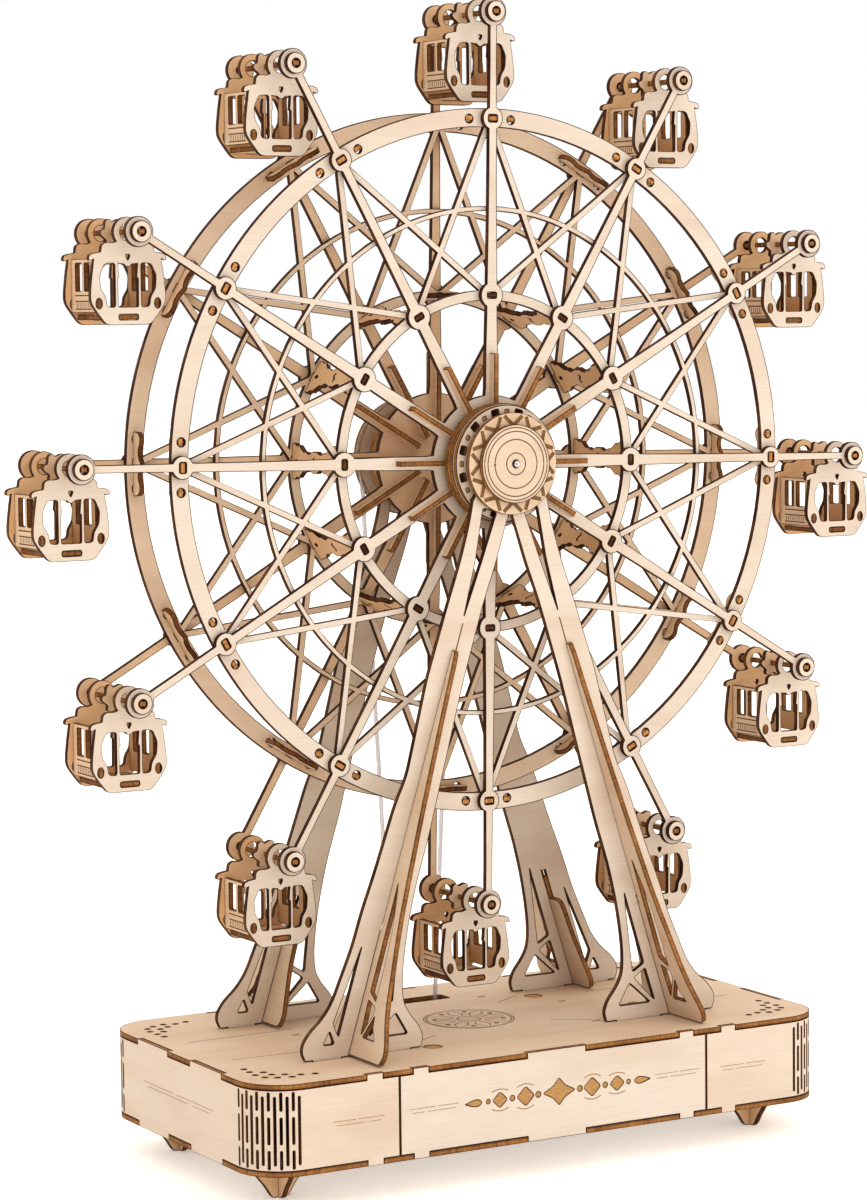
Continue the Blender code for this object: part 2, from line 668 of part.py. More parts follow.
def spoke_outline():
    """One spoke along u, with its share of the hub disc's edge, drawn anticlockwise."""
    root = SPOKE_ROOT_WIDTH / 2
    middle = SPOKE_MIDDLE_WIDTH / 2
    tip = SPOKE_TIP_WIDTH / 2
    hub = arc((0.0, 0.0), HUB_DISC_RADIUS, -SECTOR / 2, -asin(root / HUB_DISC_RADIUS), 1)
    lower = hub + boss_arc(INNER_NODE_RADIUS, INNER_BOSS_RADIUS, middle, middle, 2)
    lower += boss_arc(NODE_RADIUS, OUTER_BOSS_RADIUS, tip, tip, 2)
    turn = pi - asin(tip / SPOKE_END_RADIUS)
    end = arc((PIVOT_RADIUS, 0.0), SPOKE_END_RADIUS, -turn, turn, 6)
    return lower + end + [(u, -v) for u, v in reversed(lower)][:-1]


def build_star(name, wheel, facing):
    """Hub disc and spokes of one side; the radial fins stand through the disc on both of its faces."""
    outline = []
    bores = [circle((0.0, 0.0), SHAFT_RADIUS + CLEAR, 16)]
    spoke = spoke_outline()
    for k in range(SPOKES):
        outline += turned_points(spoke, k * SECTOR)
        centre = polar(PIVOT_RADIUS, k * SECTOR)
        bores.append(circle(centre, CABIN_AXLE_RADIUS + CLEAR, 6))
    inner = facing * STAR_PLACE
    outer = facing * (STAR_PLACE + SHEET)
    mesh = bmesh.new()
    add_prism(mesh, [outline, *bores], min(inner, outer), max(inner, outer), turned_by(WHEEL_PHASE))
    fins = bmesh.new()
    low = STAR_PLACE - HUB_FIN_INSET
    high = STAR_PLACE + SHEET + HUB_FIN_OUTSET
    blade = rectangle(HUB_FIN_START, low, HUB_FIN_END, high)
    for k in range(SPOKES):
        angle = WHEEL_PHASE + k * SECTOR
        outward = Vector((cos(angle), 0.0, sin(angle)))
        sideward = Vector((-sin(angle), 0.0, cos(angle)))

        def standing(u, v, w, outward=outward, sideward=sideward):
            return outward * u + Vector((0.0, facing * v, 0.0)) + sideward * w

        add_prism(fins, [blade], -SHEET / 2, SHEET / 2, standing)
    part(name, mesh, BIRCH, wheel, joined=fins)


def build_drum(name, wheel, facing):
    bore = SHAFT_RADIUS + CLEAR
    step = DRUM_PLACE + DRUM_DEPTH
    top = step + SHEET
    profile = [(bore, DRUM_PLACE), (DRUM_RADIUS, DRUM_PLACE), (DRUM_RADIUS, step)]
    profile += [(HOLED_DISC_RADIUS, step), (HOLED_DISC_RADIUS, top), (bore, top)]
    mesh = bmesh.new()
    add_turned(mesh, [(radius, facing * height) for radius, height in profile], upright, 24)
    part(name, mesh, BURNT_BIRCH, wheel, smooth=True)


def build_tie(name, wheel, angle):
    reach = LATTICE_PLACE - CLEAR
    right = [(u * TIE_HALF_WIDTH, v * reach) for u, v in reversed(TIE_SHARES)]
    right = [(u, -v) for u, v in reversed(right)][:-1] + right
    outline = right + [(-u, v) for u, v in reversed(right)]
    mesh = bmesh.new()
    add_prism(mesh, [outline], -SHEET / 2, SHEET / 2, across_spoke(angle, INNER_NODE_RADIUS))
    part(name, mesh, BIRCH, wheel)


def bored_disc(radius, bore, low, high):
    return [(bore, low), (radius, low), (radius, high), (bore, high)]


def build_wheel():
    wheel = axis_empty("wheel_axis", (0.0, 0.0, AXLE_HEIGHT))
    bore = SHAFT_RADIUS + CLEAR
    mesh = bmesh.new()
    shaft_front = -CAP_PLACE - SHEET - SHAFT_PROUD
    shaft_rear = PULLEY_PLACE + PULLEY_WIDTH + SHAFT_PROUD
    add_rod(mesh, SHAFT_RADIUS, shaft_front, shaft_rear, upright, 16)
    part("wheel_shaft", mesh, STEEL, wheel, smooth=True)
    build_lattice("front_lattice", wheel, -LATTICE_PLACE - SHEET)
    build_lattice("rear_lattice", wheel, LATTICE_PLACE)
    build_star("front_spokes", wheel, -1)
    build_star("rear_spokes", wheel, 1)
    build_drum("front_hub_drum", wheel, -1)
    build_drum("rear_hub_drum", wheel, 1)
    for k in range(SPOKES):
        build_tie(f"tie_{k + 1:02d}", wheel, WHEEL_PHASE + k * SECTOR)
    discs = (("front_sunburst_disc", SUNBURST_RADIUS, SUNBURST_PLACE), ("front_hub_cap", CAP_RADIUS, CAP_PLACE))
    for name, radius, place in discs:
        mesh = bmesh.new()
        add_turned(mesh, bored_disc(radius, bore, -place - SHEET, -place), upright, 24)
        part(name, mesh, BIRCH, wheel, smooth=True)
    build_pulley("driven_pulley", wheel, DRIVEN_FLANGE_RADIUS, DRIVEN_BELT_RADIUS, bore, FRAME_FACE + CLEAR, 24)
    return wheel


def build_pulley(name, parent, flange_radius, belt_radius, bore, boss_start, sides):
    """A grooved wheel on the belt's plane, with a spacer in front of it where the boss starts earlier."""
    groove = belt_radius - BELT_THICKNESS / 2 - CLEAR
    rear = PULLEY_PLACE + PULLEY_WIDTH
    profile = [(bore, boss_start)]
    if boss_start < PULLEY_PLACE:
        profile += [(SPACER_RADIUS, boss_start), (SPACER_RADIUS, PULLEY_PLACE)]
    profile += [(flange_radius, PULLEY_PLACE), (flange_radius, PULLEY_PLACE + FLANGE)]
    profile += [(groove, PULLEY_PLACE + FLANGE), (groove, rear - FLANGE)]
    profile += [(flange_radius, rear - FLANGE), (flange_radius, rear), (bore, rear)]
    mesh = bmesh.new()
    add_turned(mesh, profile, upright, sides)
    part(name, mesh, BURNT_BIRCH, parent, smooth=True)


def build_belt():
    """An open belt: round the driven pulley above and the output pulley below, straight between them."""
    rise = AXLE_HEIGHT - ARBOR_HEIGHT
    lean = asin((DRIVEN_BELT_RADIUS - OUTPUT_BELT_RADIUS) / rise)
    points = arc((0.0, AXLE_HEIGHT), DRIVEN_BELT_RADIUS, -lean, pi + lean, 14)
    lower = arc((0.0, ARBOR_HEIGHT), OUTPUT_BELT_RADIUS, pi + lean, tau - lean, 8)
    for start, end in ((points[-1], lower[0]), (lower[-1], points[0])):
        span = [(start[0] + (end[0] - start[0]) * i / 4, start[1] + (end[1] - start[1]) * i / 4) for i in (1, 2, 3)]
        if start is points[-1]:
            lower = span + lower
        else:
            lower += span
    points += lower
    data = bpy.data.curves.new("drive_belt", "CURVE")
    data.dimensions = "3D"
    data.bevel_depth = BELT_THICKNESS / 2
    data.bevel_resolution = 2
    data.use_fill_caps = True
    line = data.splines.new("POLY")
    line.points.add(len(points) - 1)
    for knot, (u, v) in zip(line.points, points):
        knot.co = (u, BELT_PLACE, v, 1.0)
    line.use_cyclic_u = True
    belt = bpy.data.objects.new("drive_belt", data)
    bpy.context.scene.collection.objects.link(belt)
    paint(belt, CLEAR_BAND)


# Cabins
def cabin_point(share):
    return (share[0] * CABIN_HALF_WIDTH, share[1] * CABIN_DROP)


def cabin_mesh():
    """A cabin drawn about its pivot: front and rear plates, side panels, floor and the axle they hang on."""
    half = [cabin_point(share) for share in CABIN_OUTLINE_SHARES]
    ear = arc((0.0, 0.0), CABIN_EAR_RADIUS, CABIN_EAR_START_ANGLE, pi - CABIN_EAR_START_ANGLE, 5)
    window = [cabin_point(share) for share in CABIN_WINDOW_SHARES]
    door = [cabin_point(share) for share in CABIN_DOOR_SHARES]
    loops = [half + ear + mirrored(half), window, mirrored(window), door + mirrored(door)]
    plates = bmesh.new()
    add_prism(plates, loops, -CABIN_PLATE_PLACE - SHEET, -CABIN_PLATE_PLACE, upright)
    add_prism(plates, loops, CABIN_PLATE_PLACE, CABIN_PLATE_PLACE + SHEET, upright)
    reach = CABIN_PLATE_PLACE + SHEET / 2
    inside = bmesh.new()
    panel = rectangle(-reach, -CABIN_SIDE_BOTTOM, reach, -CABIN_SIDE_TOP)
    opening_top = -CABIN_SIDE_WINDOW_TOP
    opening = rectangle(-CABIN_SIDE_WINDOW_HALF, -CABIN_SIDE_WINDOW_BOTTOM, CABIN_SIDE_WINDOW_HALF, opening_top)
    for left in (-CABIN_SIDE_PLACE - SHEET, CABIN_SIDE_PLACE):
        add_prism(inside, [panel, opening], left, left + SHEET, sideways)
    floor_low = (-CABIN_FLOOR_HALF, -reach, -CABIN_FLOOR_DROP - SHEET)
    add_block(inside, floor_low, (CABIN_FLOOR_HALF, reach, -CABIN_FLOOR_DROP))
    washer = STAR_PLACE + SHEET + CLEAR
    end = washer + CABIN_WASHER_WIDTH
    slim = CABIN_AXLE_RADIUS
    wide = CABIN_WASHER_RADIUS
    profile = [(0.0, -end), (wide, -end), (wide, -washer), (slim, -washer)]
    profile += [(slim, washer), (wide, washer), (wide, end), (0.0, end)]
    axle = bmesh.new()
    add_axle(axle, profile)
    thing = new_object("cabin", plates)
    combine(thing, inside, "UNION")
    combine(thing, axle, "UNION")
    paint(thing, BIRCH)
    mesh = thing.data
    bpy.data.objects.remove(thing, do_unlink=True)
    return mesh


def add_axle(mesh, profile):
    """A turned solid that reaches its own axis, so the points on the axis are welded after the spin."""
    corners = [mesh.verts.new(upright(radius, 0.0, height)) for radius, height in profile]
    edges = [mesh.edges.new(pair) for pair in zip(corners, corners[1:])]
    line = corners + edges
    bmesh.ops.spin(mesh, geom=line, cent=(0.0, 0.0, 0.0), axis=(0.0, 1.0, 0.0), angle=tau, steps=6, use_merge=True)
    bmesh.ops.remove_doubles(mesh, verts=mesh.verts[:], dist=CLEAR / 10)


def build_cabins(wheel):
    mesh = cabin_mesh()
    for k in range(SPOKES):
        pivot = polar(PIVOT_RADIUS, WHEEL_PHASE + k * SECTOR)
        cabin = bpy.data.objects.new(f"cabin_{k + 1:02d}", mesh)
        cabin.location = (pivot.x, 0.0, pivot.y)
        cabin.parent = wheel
        bpy.context.scene.collection.objects.link(cabin)


# Movement
def build_bedplate():
    """Bedplate with a bearing post at each end of the cylinder and the bracket that holds the governor's top."""
    key_hole = circle((SPRING_PLACE_X, SPRING_PLACE_Y), KEY_STEM_RADIUS + CLEAR, 16)
    mesh = bmesh.new()
    plate = rectangle(BED_LEFT, BED_FRONT, BED_RIGHT, BED_REAR)
    add_prism(mesh, [plate, key_hole], BED_UNDER, BED_TOP, level)
    posts = bmesh.new()
    foot = BED_TOP - BED_THICKNESS / 2
    bore = circle((0.0, ARBOR_HEIGHT), ARBOR_RADIUS + CLEAR, 12)
    post = rectangle(-POST_HALF_WIDTH, foot, POST_HALF_WIDTH, ARBOR_HEIGHT + POST_ABOVE_ARBOR)
    for place in (POST_FRONT_PLACE, POST_REAR_PLACE):
        add_prism(posts, [post, bore], place, place + POST_THICKNESS, upright)
    top = BED_TOP + 2 * CLEAR + GOVERNOR_HEIGHT
    outer = GOVERNOR_PLACE_Y - GOVERNOR_FAN_RADIUS - CLEAR - GOVERNOR_POST_DEPTH
    bracket = [(outer, foot), (outer + GOVERNOR_POST_DEPTH, foot), (outer + GOVERNOR_POST_DEPTH, top)]
    bracket += [(GOVERNOR_PLACE_Y + GOVERNOR_ARM_HALF_WIDTH, top)]
    bracket += [(GOVERNOR_PLACE_Y + GOVERNOR_ARM_HALF_WIDTH, top + GOVERNOR_ARM_HEIGHT)]
    bracket += [(outer, top + GOVERNOR_ARM_HEIGHT)]
    left = GOVERNOR_PLACE_X - GOVERNOR_ARM_HALF_WIDTH
    add_prism(posts, [bracket], left, left + 2 * GOVERNOR_ARM_HALF_WIDTH, sideways)
    part("movement_bedplate", mesh, BRASS, joined=posts)


def build_comb():
    """Tuned steel comb: a plate with a slit between each two teeth, on the block that carries it."""
    under = ARBOR_HEIGHT - COMB_THICKNESS / 2
    tip = -CYLINDER_RADIUS - CLEAR
    root = COMB_BLOCK_RIGHT
    pitch = COMB_LENGTH / COMB_TEETH
    outline = [(COMB_BLOCK_LEFT, COMB_FRONT)]
    for i in range(COMB_TEETH):
        front = COMB_FRONT + i * pitch
        rear = front + pitch - COMB_SLIT
        outline += [(tip, front), (tip, rear)]
        if i < COMB_TEETH - 1:
            outline += [(root, rear), (root, rear + COMB_SLIT)]
    rear = COMB_FRONT + COMB_LENGTH - COMB_SLIT
    outline.append((COMB_BLOCK_LEFT, rear))
    mesh = bmesh.new()
    add_prism(mesh, [outline], under, under + COMB_THICKNESS, level)
    block = bmesh.new()
    low = (COMB_BLOCK_LEFT + SHEET, COMB_FRONT + SHEET, BED_TOP + CLEAR)
    add_block(block, low, (COMB_BLOCK_RIGHT - SHEET, rear - SHEET, under + COMB_THICKNESS / 2))
    part("movement_comb", mesh, STEEL, joined=block)


def build_movement():
    build_bedplate()
    build_comb()
    cylinder = axis_empty("cylinder_axis", (0.0, 0.0, ARBOR_HEIGHT))
    arbor_end = PULLEY_PLACE + PULLEY_WIDTH + ARBOR_PAST_PULLEY
    mesh = bmesh.new()
    add_rod(mesh, ARBOR_RADIUS, ARBOR_START, arbor_end, upright, 12)
    drum = bmesh.new()
    add_rod(drum, CYLINDER_RADIUS, CYLINDER_START, CYLINDER_START + CYLINDER_LENGTH, upright, 24)
    part("movement_cylinder", mesh, BRASS, cylinder, joined=drum, smooth=True)
    bore = ARBOR_RADIUS + CLEAR
    build_pulley("output_pulley", cylinder, OUTPUT_FLANGE_RADIUS, OUTPUT_BELT_RADIUS, bore, PULLEY_PLACE, 16)
    bottom = BED_TOP + CLEAR
    spring = moved_by((SPRING_PLACE_X, SPRING_PLACE_Y, bottom), level)
    mesh = bmesh.new()
    add_rod(mesh, SPRING_RADIUS, 0.0, SPRING_HEIGHT, spring, 24)
    part("movement_spring_housing", mesh, BRASS, smooth=True)
    key_axis = axis_empty("key_axis", (SPRING_PLACE_X, SPRING_PLACE_Y, FOOT_HEIGHT))
    wing_top = -KEY_BELOW_BOX
    mesh = bmesh.new()
    half = KEY_WING_WIDTH / 2
    wing = rectangle(-half, wing_top - KEY_WING_HEIGHT, half, wing_top)
    add_prism(mesh, [wing], -KEY_WING_THICKNESS / 2, KEY_WING_THICKNESS / 2, upright)
    stem = bmesh.new()
    add_rod(stem, KEY_STEM_RADIUS, wing_top - KEY_WING_HEIGHT / 2, BED_TOP - FOOT_HEIGHT, level, 12)
    part("winding_key", mesh, STEEL, key_axis, joined=stem)
    place = (GOVERNOR_PLACE_X, GOVERNOR_PLACE_Y, bottom)
    governor_axis = axis_empty("governor_axis", place)
    mesh = bmesh.new()
    add_rod(mesh, GOVERNOR_STEM_RADIUS, 0.0, GOVERNOR_HEIGHT, level, 10)
    fan = bmesh.new()
    high = GOVERNOR_HEIGHT - GOVERNOR_FAN_TOP_GAP
    half = GOVERNOR_FAN_THICKNESS / 2
    low = (-GOVERNOR_FAN_RADIUS, -half, high - GOVERNOR_FAN_HEIGHT)
    add_block(fan, low, (GOVERNOR_FAN_RADIUS, half, high))
    part("movement_governor", mesh, BRASS, governor_axis, joined=fan)


def build_all():
    for old in list(bpy.data.objects):
        bpy.data.objects.remove(old, do_unlink=True)
    build_plates()
    build_walls()
    for front_name, facing in (("front", -1), ("rear", 1)):
        for side_name, side in (("left", -1), ("right", 1)):
            build_foot(f"foot_{front_name}_{side_name}", (side * FOOT_PLACE_X, facing * FOOT_PLACE_Y))
            build_leg_fin(f"leg_fin_{front_name}_{side_name}", side, facing)
    build_a_frame("front_a_frame", -FRAME_FACE)
    build_a_frame("rear_a_frame", FRAME_PLACE)
    wheel = build_wheel()
    build_cabins(wheel)
    build_belt()
    build_movement()


build_all()
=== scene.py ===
from math import asin, atan, atan2, cos, degrees, pi, radians, sin, sqrt

import bmesh
import bpy
from mathutils import Matrix, Vector


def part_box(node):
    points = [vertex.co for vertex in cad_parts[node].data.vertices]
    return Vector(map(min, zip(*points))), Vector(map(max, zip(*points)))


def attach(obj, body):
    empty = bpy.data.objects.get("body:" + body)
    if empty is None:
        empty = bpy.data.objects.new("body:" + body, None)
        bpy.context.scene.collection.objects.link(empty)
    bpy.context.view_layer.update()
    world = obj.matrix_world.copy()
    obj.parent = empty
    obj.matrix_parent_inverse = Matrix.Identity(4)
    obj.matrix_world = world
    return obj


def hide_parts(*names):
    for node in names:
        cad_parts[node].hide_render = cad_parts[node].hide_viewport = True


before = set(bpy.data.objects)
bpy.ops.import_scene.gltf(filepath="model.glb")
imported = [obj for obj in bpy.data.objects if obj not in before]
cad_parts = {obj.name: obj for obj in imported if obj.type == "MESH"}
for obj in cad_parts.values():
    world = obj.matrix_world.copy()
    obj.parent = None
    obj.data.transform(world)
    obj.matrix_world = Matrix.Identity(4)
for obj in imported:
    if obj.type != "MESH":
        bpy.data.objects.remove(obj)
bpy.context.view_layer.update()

# BASE PLATES
# Two sheets of 1.6 mm birch plywood form the floor and the deck of the base box. A laser cuts them, which
# leaves a thin scorched line round every cut and a brown edge; the walls' tabs sit in the notches. All in mm.
MM = 0.001
SHEET = 1.6
FIT = 0.3
RIM = 0.36
ENGRAVED_DEPTH = 0.18
LINE_WIDTH = 0.34
BOX_LENGTH = 214.8
BOX_DEPTH = 113.7
BOX_CORNER = 15.6
FOOT_HEIGHT = 11.3
DECK_TOP = 40.4
FACINGS = (("front", -1), ("rear", 1))
LEG_TABS = ((39.5, 56.88), (64.78, 75.05))
FRAME_FACE = 31.1
MIDDLE_TAB_HALF = 11
TAB_HALF = 2.8
KEY_PLACE = (19, 16)
PIN_HOLE = 1.8
BELT_SLOT = (-12.5, 32.8, 12.5, 40)
DOT_RADIUS = 0.97
PLUG_RADIUS = 3.1
ROSETTE_MIDDLE = (0, -1)
ROSETTE_LINE = 0.26


def level(u, v, w):
    return Vector((u, v, w)) * MM


def arc(centre, radius, start, end, steps):
    angles = [radians(start + (end - start) * i / steps) for i in range(steps + 1)]
    return [(centre[0] + radius * cos(a), centre[1] + radius * sin(a)) for a in angles]


def circle(radius, steps=28, centre=(0, 0)):
    return arc(centre, radius, 0, 360, steps)[:-1]


def corners_of(left, low, right, high):
    return [(left, low), (right, low), (right, high), (left, high)]


def mirrored(points):
    return [(-u, v) for u, v in reversed(points)]


def flipped(points):
    return [(u, -v) for u, v in reversed(points)]


def turned(points, angle, centre=(0, 0)):
    c, s = cos(radians(angle)), sin(radians(angle))
    return [(centre[0] + u * c - v * s, centre[1] + u * s + v * c) for u, v in points]


def softened(points, reach=1, steps=3, closed=True):
    """A cut line whose corners are eased, as the beam's width and the drawing's small radii leave them."""
    eased = []
    for i, point in enumerate(points):
        if not closed and i in (0, len(points) - 1):
            eased.append(point)
            continue
        corner = Vector(point)
        before = Vector(points[i - 1]) - corner
        after = Vector(points[(i + 1) % len(points)]) - corner
        start = before.normalized() * min(reach, before.length * 0.45)
        end = after.normalized() * min(reach, after.length * 0.45)
        for k in range(steps + 1):
            t = k / steps
            eased.append(tuple(corner + start * (1 - t) ** 2 + end * t ** 2))
    return eased


def stroke(points, width=LINE_WIDTH):
    """The thin closed loop that a pass of the beam leaves along a line of points."""
    left, right = [], []
    for i, point in enumerate(points):
        along = (Vector(points[min(i + 1, len(points) - 1)]) - Vector(points[max(i - 1, 0)])).normalized()
        across = Vector((-along.y, along.x)) * width / 2
        left.append(tuple(Vector(point) + across))
        right.append(tuple(Vector(point) - across))
    return left + right[::-1]


def drawn_in(loop, inset):
    """The same loop, moved to its left by a little: into the wood from an outline or a hole."""
    moved = []
    for i, point in enumerate(loop):
        before = (Vector(point) - Vector(loop[i - 1])).normalized()
        after = (Vector(loop[(i + 1) % len(loop)]) - Vector(point)).normalized()
        along = before + after
        moved.append(tuple(Vector(point) + Vector((-along.y, along.x)).normalized() * inset))
    return moved


def wound(loop, solid_inside):
    """A loop that runs anticlockwise where the wood is inside it, and clockwise round a hole."""
    area = sum(loop[i - 1][0] * loop[i][1] - loop[i][0] * loop[i - 1][1] for i in range(len(loop)))
    return loop if (area > 0) == solid_inside else loop[::-1]


sheets_cut = 0


def new_boards():
    mesh = bmesh.new()
    for name in ("scorch", "char", "tone_and_shade"):
        mesh.verts.layers.float.new(name)
    mesh.verts.layers.float_vector.new("board")
    return mesh


def cut_sheet(
    mesh, place, outline, face, back, holes=(), lines=(), fields=(),
    rim=RIM, char=0.45, burn=1, tone_and_shade=0.05, depth=ENGRAVED_DEPTH,
):
    """One laser-cut sheet from its face to its back: lines and fields are engraved on the face.

    From 0 to 1, char and burn say how dark the beam left the edges and the lines. The tone value says how
    deep and
    warm the face is drawn: partly the veneer's own colour, and partly painted shade on sheets that lie in
    shadow.
    """
    global sheets_cut
    sheets_cut += 1
    scorch, charring, tone_and_shade_layer = (mesh.verts.layers.float[name] for name in ("scorch", "char", "tone_and_shade"))
    board = mesh.verts.layers.float_vector["board"]
    outwards = 1 if face > back else -1
    made, raised = [], []

    def ring(loop, inset, w, lift=0, brown=1):
        """A loop of edges; a loop that frames another is raised from it until the two are bridged."""
        corners = []
        for u, v in drawn_in(loop, inset) if inset else loop:
            corner = mesh.verts.new((u, v, w + lift * outwards))
            corner[scorch] = 0 if inset else brown
            corner[charring] = char(u, v) if callable(char) else char
            corner[tone_and_shade_layer] = tone_and_shade
            corners.append(corner)
            raised.append((corner, w))
        made.extend(corners)
        return [mesh.edges.new(pair) for pair in zip(corners, corners[1:] + corners[:1])]

    def bridge(first, second, finish):
        for item in bmesh.ops.bridge_loops(mesh, edges=first + second)["faces"]:
            item.material_index = finish

    def fill(edges, finish):
        filled = bmesh.ops.triangle_fill(mesh, use_beauty=True, edges=edges, normal=(0, 0, 1))
        for item in filled["geom"]:
            if isinstance(item, bmesh.types.BMFace):
                item.material_index = finish

    top, bottom, floors = [], [], []
    for number, loop in enumerate((outline, *holes)):
        loop = wound(loop, number == 0)
        rings = [ring(loop, *stage) for stage in ((rim, face, 9), (0, face), (0, back), (rim, back, -9))]
        bridge(rings[0], rings[1], 0)
        bridge(rings[1], rings[2], 1)
        bridge(rings[2], rings[3], 0)
        top.append(rings[0])
        bottom.append(rings[3])
    floor = face - depth * outwards
    for number, loop in enumerate((*lines, *fields)):
        loop = wound(loop, True)
        is_line = number < len(lines)
        brown = burn if is_line else 1
        rings = [ring(loop, -rim / 2, face, 9), ring(loop, 0, face, 0, brown), ring(loop, 0, floor, 0, brown)]
        bridge(rings[0], rings[1], 0)
        bridge(rings[1], rings[2], 2 if is_line else 1)
        top.append(rings[0])
        if not is_line:
            rings.append(ring(loop, rim, floor, -9))
            bridge(rings[2], rings[3], 2)
        floors.append(rings[-1])
    for corner, w in raised:
        corner.co.z = w
    fill(sum(top, []), 0)
    fill(sum(bottom, []), 0)
    for edges in floors:
        fill(edges, 2)
    for corner in made:
        u, v, w = corner.co
        corner[board] = (u + 61.7 * sheets_cut, v + 23.9 * sheets_cut, (w - face) / (back - face))
        corner.co = place(u, v, w)


def wired(material, kind, inputs, **settings):
    """Adds one node to a finish: settings are its own, and each input is a value or another node's socket."""
    added = material.node_tree.nodes.new("ShaderNode" + kind)
    for name, value in settings.items():
        setattr(added, name, value)
    for name, value in inputs.items():
        if isinstance(value, bpy.types.NodeSocket):
            material.node_tree.links.new(value, added.inputs[name])
        else:
            added.inputs[name].default_value = value
    return added.outputs


def graded(material, factor, *stops):
    """A scale of colours along a factor."""
    outputs = wired(material, "ValToRGB", {"Fac": factor})
    scale = outputs[0].node.color_ramp
    while len(scale.elements) < len(stops):
        scale.elements.new(1)
    for element, (position, colour) in zip(scale.elements, stops):
        element.position = position
        element.color = (*colour, 1) if len(colour) == 3 else (colour[0],) * 3 + (1,)
    return outputs["Color"]


def new_finish(name, values):
    finish = bpy.data.materials.new(name)
    finish.use_nodes = True
    shader = finish.node_tree.nodes["Principled BSDF"]
    for socket, value in {"Specular IOR Level": 0.25, **values}.items():
        shader.inputs[socket].default_value = value
    return finish


def feed(finish, socket, name):
    """Joins a socket to one of the shader's own."""
    finish.node_tree.links.new(socket, finish.node_tree.nodes["Principled BSDF"].inputs[name])


def emboss(finish, height, strength, distance):
    bump = wired(finish, "Bump", {"Strength": strength, "Distance": distance, "Height": height})
    feed(finish, bump["Normal"], "Normal")


def carried(finish, name):
    """A value that each sheet's mesh carries."""
    return wired(finish, "Attribute", {}, attribute_name=name)


def blended(finish, share, first, second, kind="MIX"):
    colours = {"Fac": share, "Color1": first, "Color2": second}
    return wired(finish, "MixRGB", colours, blend_type=kind)[0]


def streaks(finish, source, scale, detail=5, roughness=0.6):
    """Noise drawn out by its own scale on each axis."""
    stretched = wired(finish, "Mapping", {"Vector": source, "Scale": scale})["Vector"]
    settings = {"Vector": stretched, "Scale": 1, "Detail": detail, "Roughness": roughness}
    return wired(finish, "TexNoise", settings)["Fac"]


def birch_face():
    """Pale birch veneer: fine fibres, slow warm clouds and a few faint flecks, browned beside each cut.
    A deeper, warmer veneer is mixed in by each sheet's tone: partly its own colour, partly painted shade.
    """
    finish = new_finish("birch_face", {"Roughness": 0.6})
    board = carried(finish, "board")["Vector"]
    fibres = streaks(finish, board, (0.06, 2.4, 0))
    clouds = streaks(finish, board, (0.015, 0.05, 0), detail=2)
    flecks = streaks(finish, board, (0.6, 4.2, 0), detail=2)
    pale = graded(
        finish, clouds, (0.32, (0.7, 0.615, 0.54)), (0.5, (0.74, 0.67, 0.605)), (0.7, (0.76, 0.7, 0.645))
    )
    deep_and_shaded = graded(
        finish, clouds, (0.32, (0.7, 0.44, 0.225)), (0.5, (0.76, 0.505, 0.275)), (0.7, (0.79, 0.56, 0.33))
    )
    # painted shade: the deep, warm veneer stands in part for shade on the rear sheets, the deck, the end
    # walls and the feet
    veneer_and_shade = blended(finish, carried(finish, "tone_and_shade")["Fac"], pale, deep_and_shaded)
    grain = graded(finish, fibres, (0.34, (0.86, 0.82, 0.76)), (0.54, (1, 1, 1)))
    fleck = graded(finish, flecks, (0.22, (0.8, 0.72, 0.62)), (0.32, (1, 1, 1)))
    grained = blended(finish, 0.38, veneer_and_shade, grain, "MULTIPLY")
    flecked = blended(finish, 0.4, grained, fleck, "MULTIPLY")
    ragged = wired(finish, "Math", {0: flecks, 1: 0.35}, operation="MULTIPLY")[0]
    scorch = carried(finish, "scorch")["Fac"]
    reach = wired(finish, "Math", {0: scorch, 1: ragged}, operation="ADD")[0]
    burnt = graded(finish, reach, (0.24, (0,)), (0.5, (0.35,)), (0.8, (1,)))
    feed(finish, blended(finish, burnt, flecked, (0.04, 0.014, 0.006, 1)), "Base Color")
    emboss(finish, fibres, 0.25, 0.00006)
    return finish


def burnt_edge():
    """The cut edge: three veneers with darker glue lines, browned by the beam more or less by sheet."""
    finish = new_finish("burnt_edge", {"Roughness": 0.68})
    board = carried(finish, "board")["Vector"]
    through = wired(finish, "SeparateXYZ", {"Vector": board})["Z"]
    light = graded(
        finish, through,
        (0, (0.1, 0.03, 0.009)), (0.1, (0.48, 0.24, 0.085)), (0.31, (0.66, 0.38, 0.155)),
        (0.35, (0.32, 0.12, 0.036)), (0.4, (0.68, 0.4, 0.165)), (0.6, (0.64, 0.36, 0.145)),
        (0.65, (0.3, 0.11, 0.034)), (0.69, (0.64, 0.36, 0.14)), (0.9, (0.46, 0.22, 0.075)),
        (1, (0.1, 0.03, 0.009)),
    )
    dark = graded(
        finish, through,
        (0, (0.01, 0.003, 0.001)), (0.16, (0.034, 0.009, 0.003)), (0.34, (0.085, 0.024, 0.006)),
        (0.52, (0.115, 0.034, 0.009)), (0.68, (0.075, 0.021, 0.006)), (0.86, (0.034, 0.009, 0.003)),
        (1, (0.01, 0.003, 0.001)),
    )
    passes = streaks(finish, board, (1.1, 1.1, 0.3), detail=4)
    patches = streaks(finish, board, (0.07, 0.07, 0), detail=2)
    uneven = wired(finish, "Math", {0: patches, 1: 0.9, 2: -0.45}, operation="MULTIPLY_ADD")[0]
    char = carried(finish, "char")["Fac"]
    depth = wired(finish, "Math", {0: char, 1: uneven}, operation="ADD", use_clamp=True)[0]
    charred = graded(finish, passes, (0.3, (0.5, 0.42, 0.36)), (0.6, (1.15, 1.12, 1.05)))
    browned = blended(finish, depth, light, dark)
    feed(finish, blended(finish, 0.75, browned, charred, "MULTIPLY"), "Base Color")
    emboss(finish, passes, 0.4, 0.0001)
    return finish


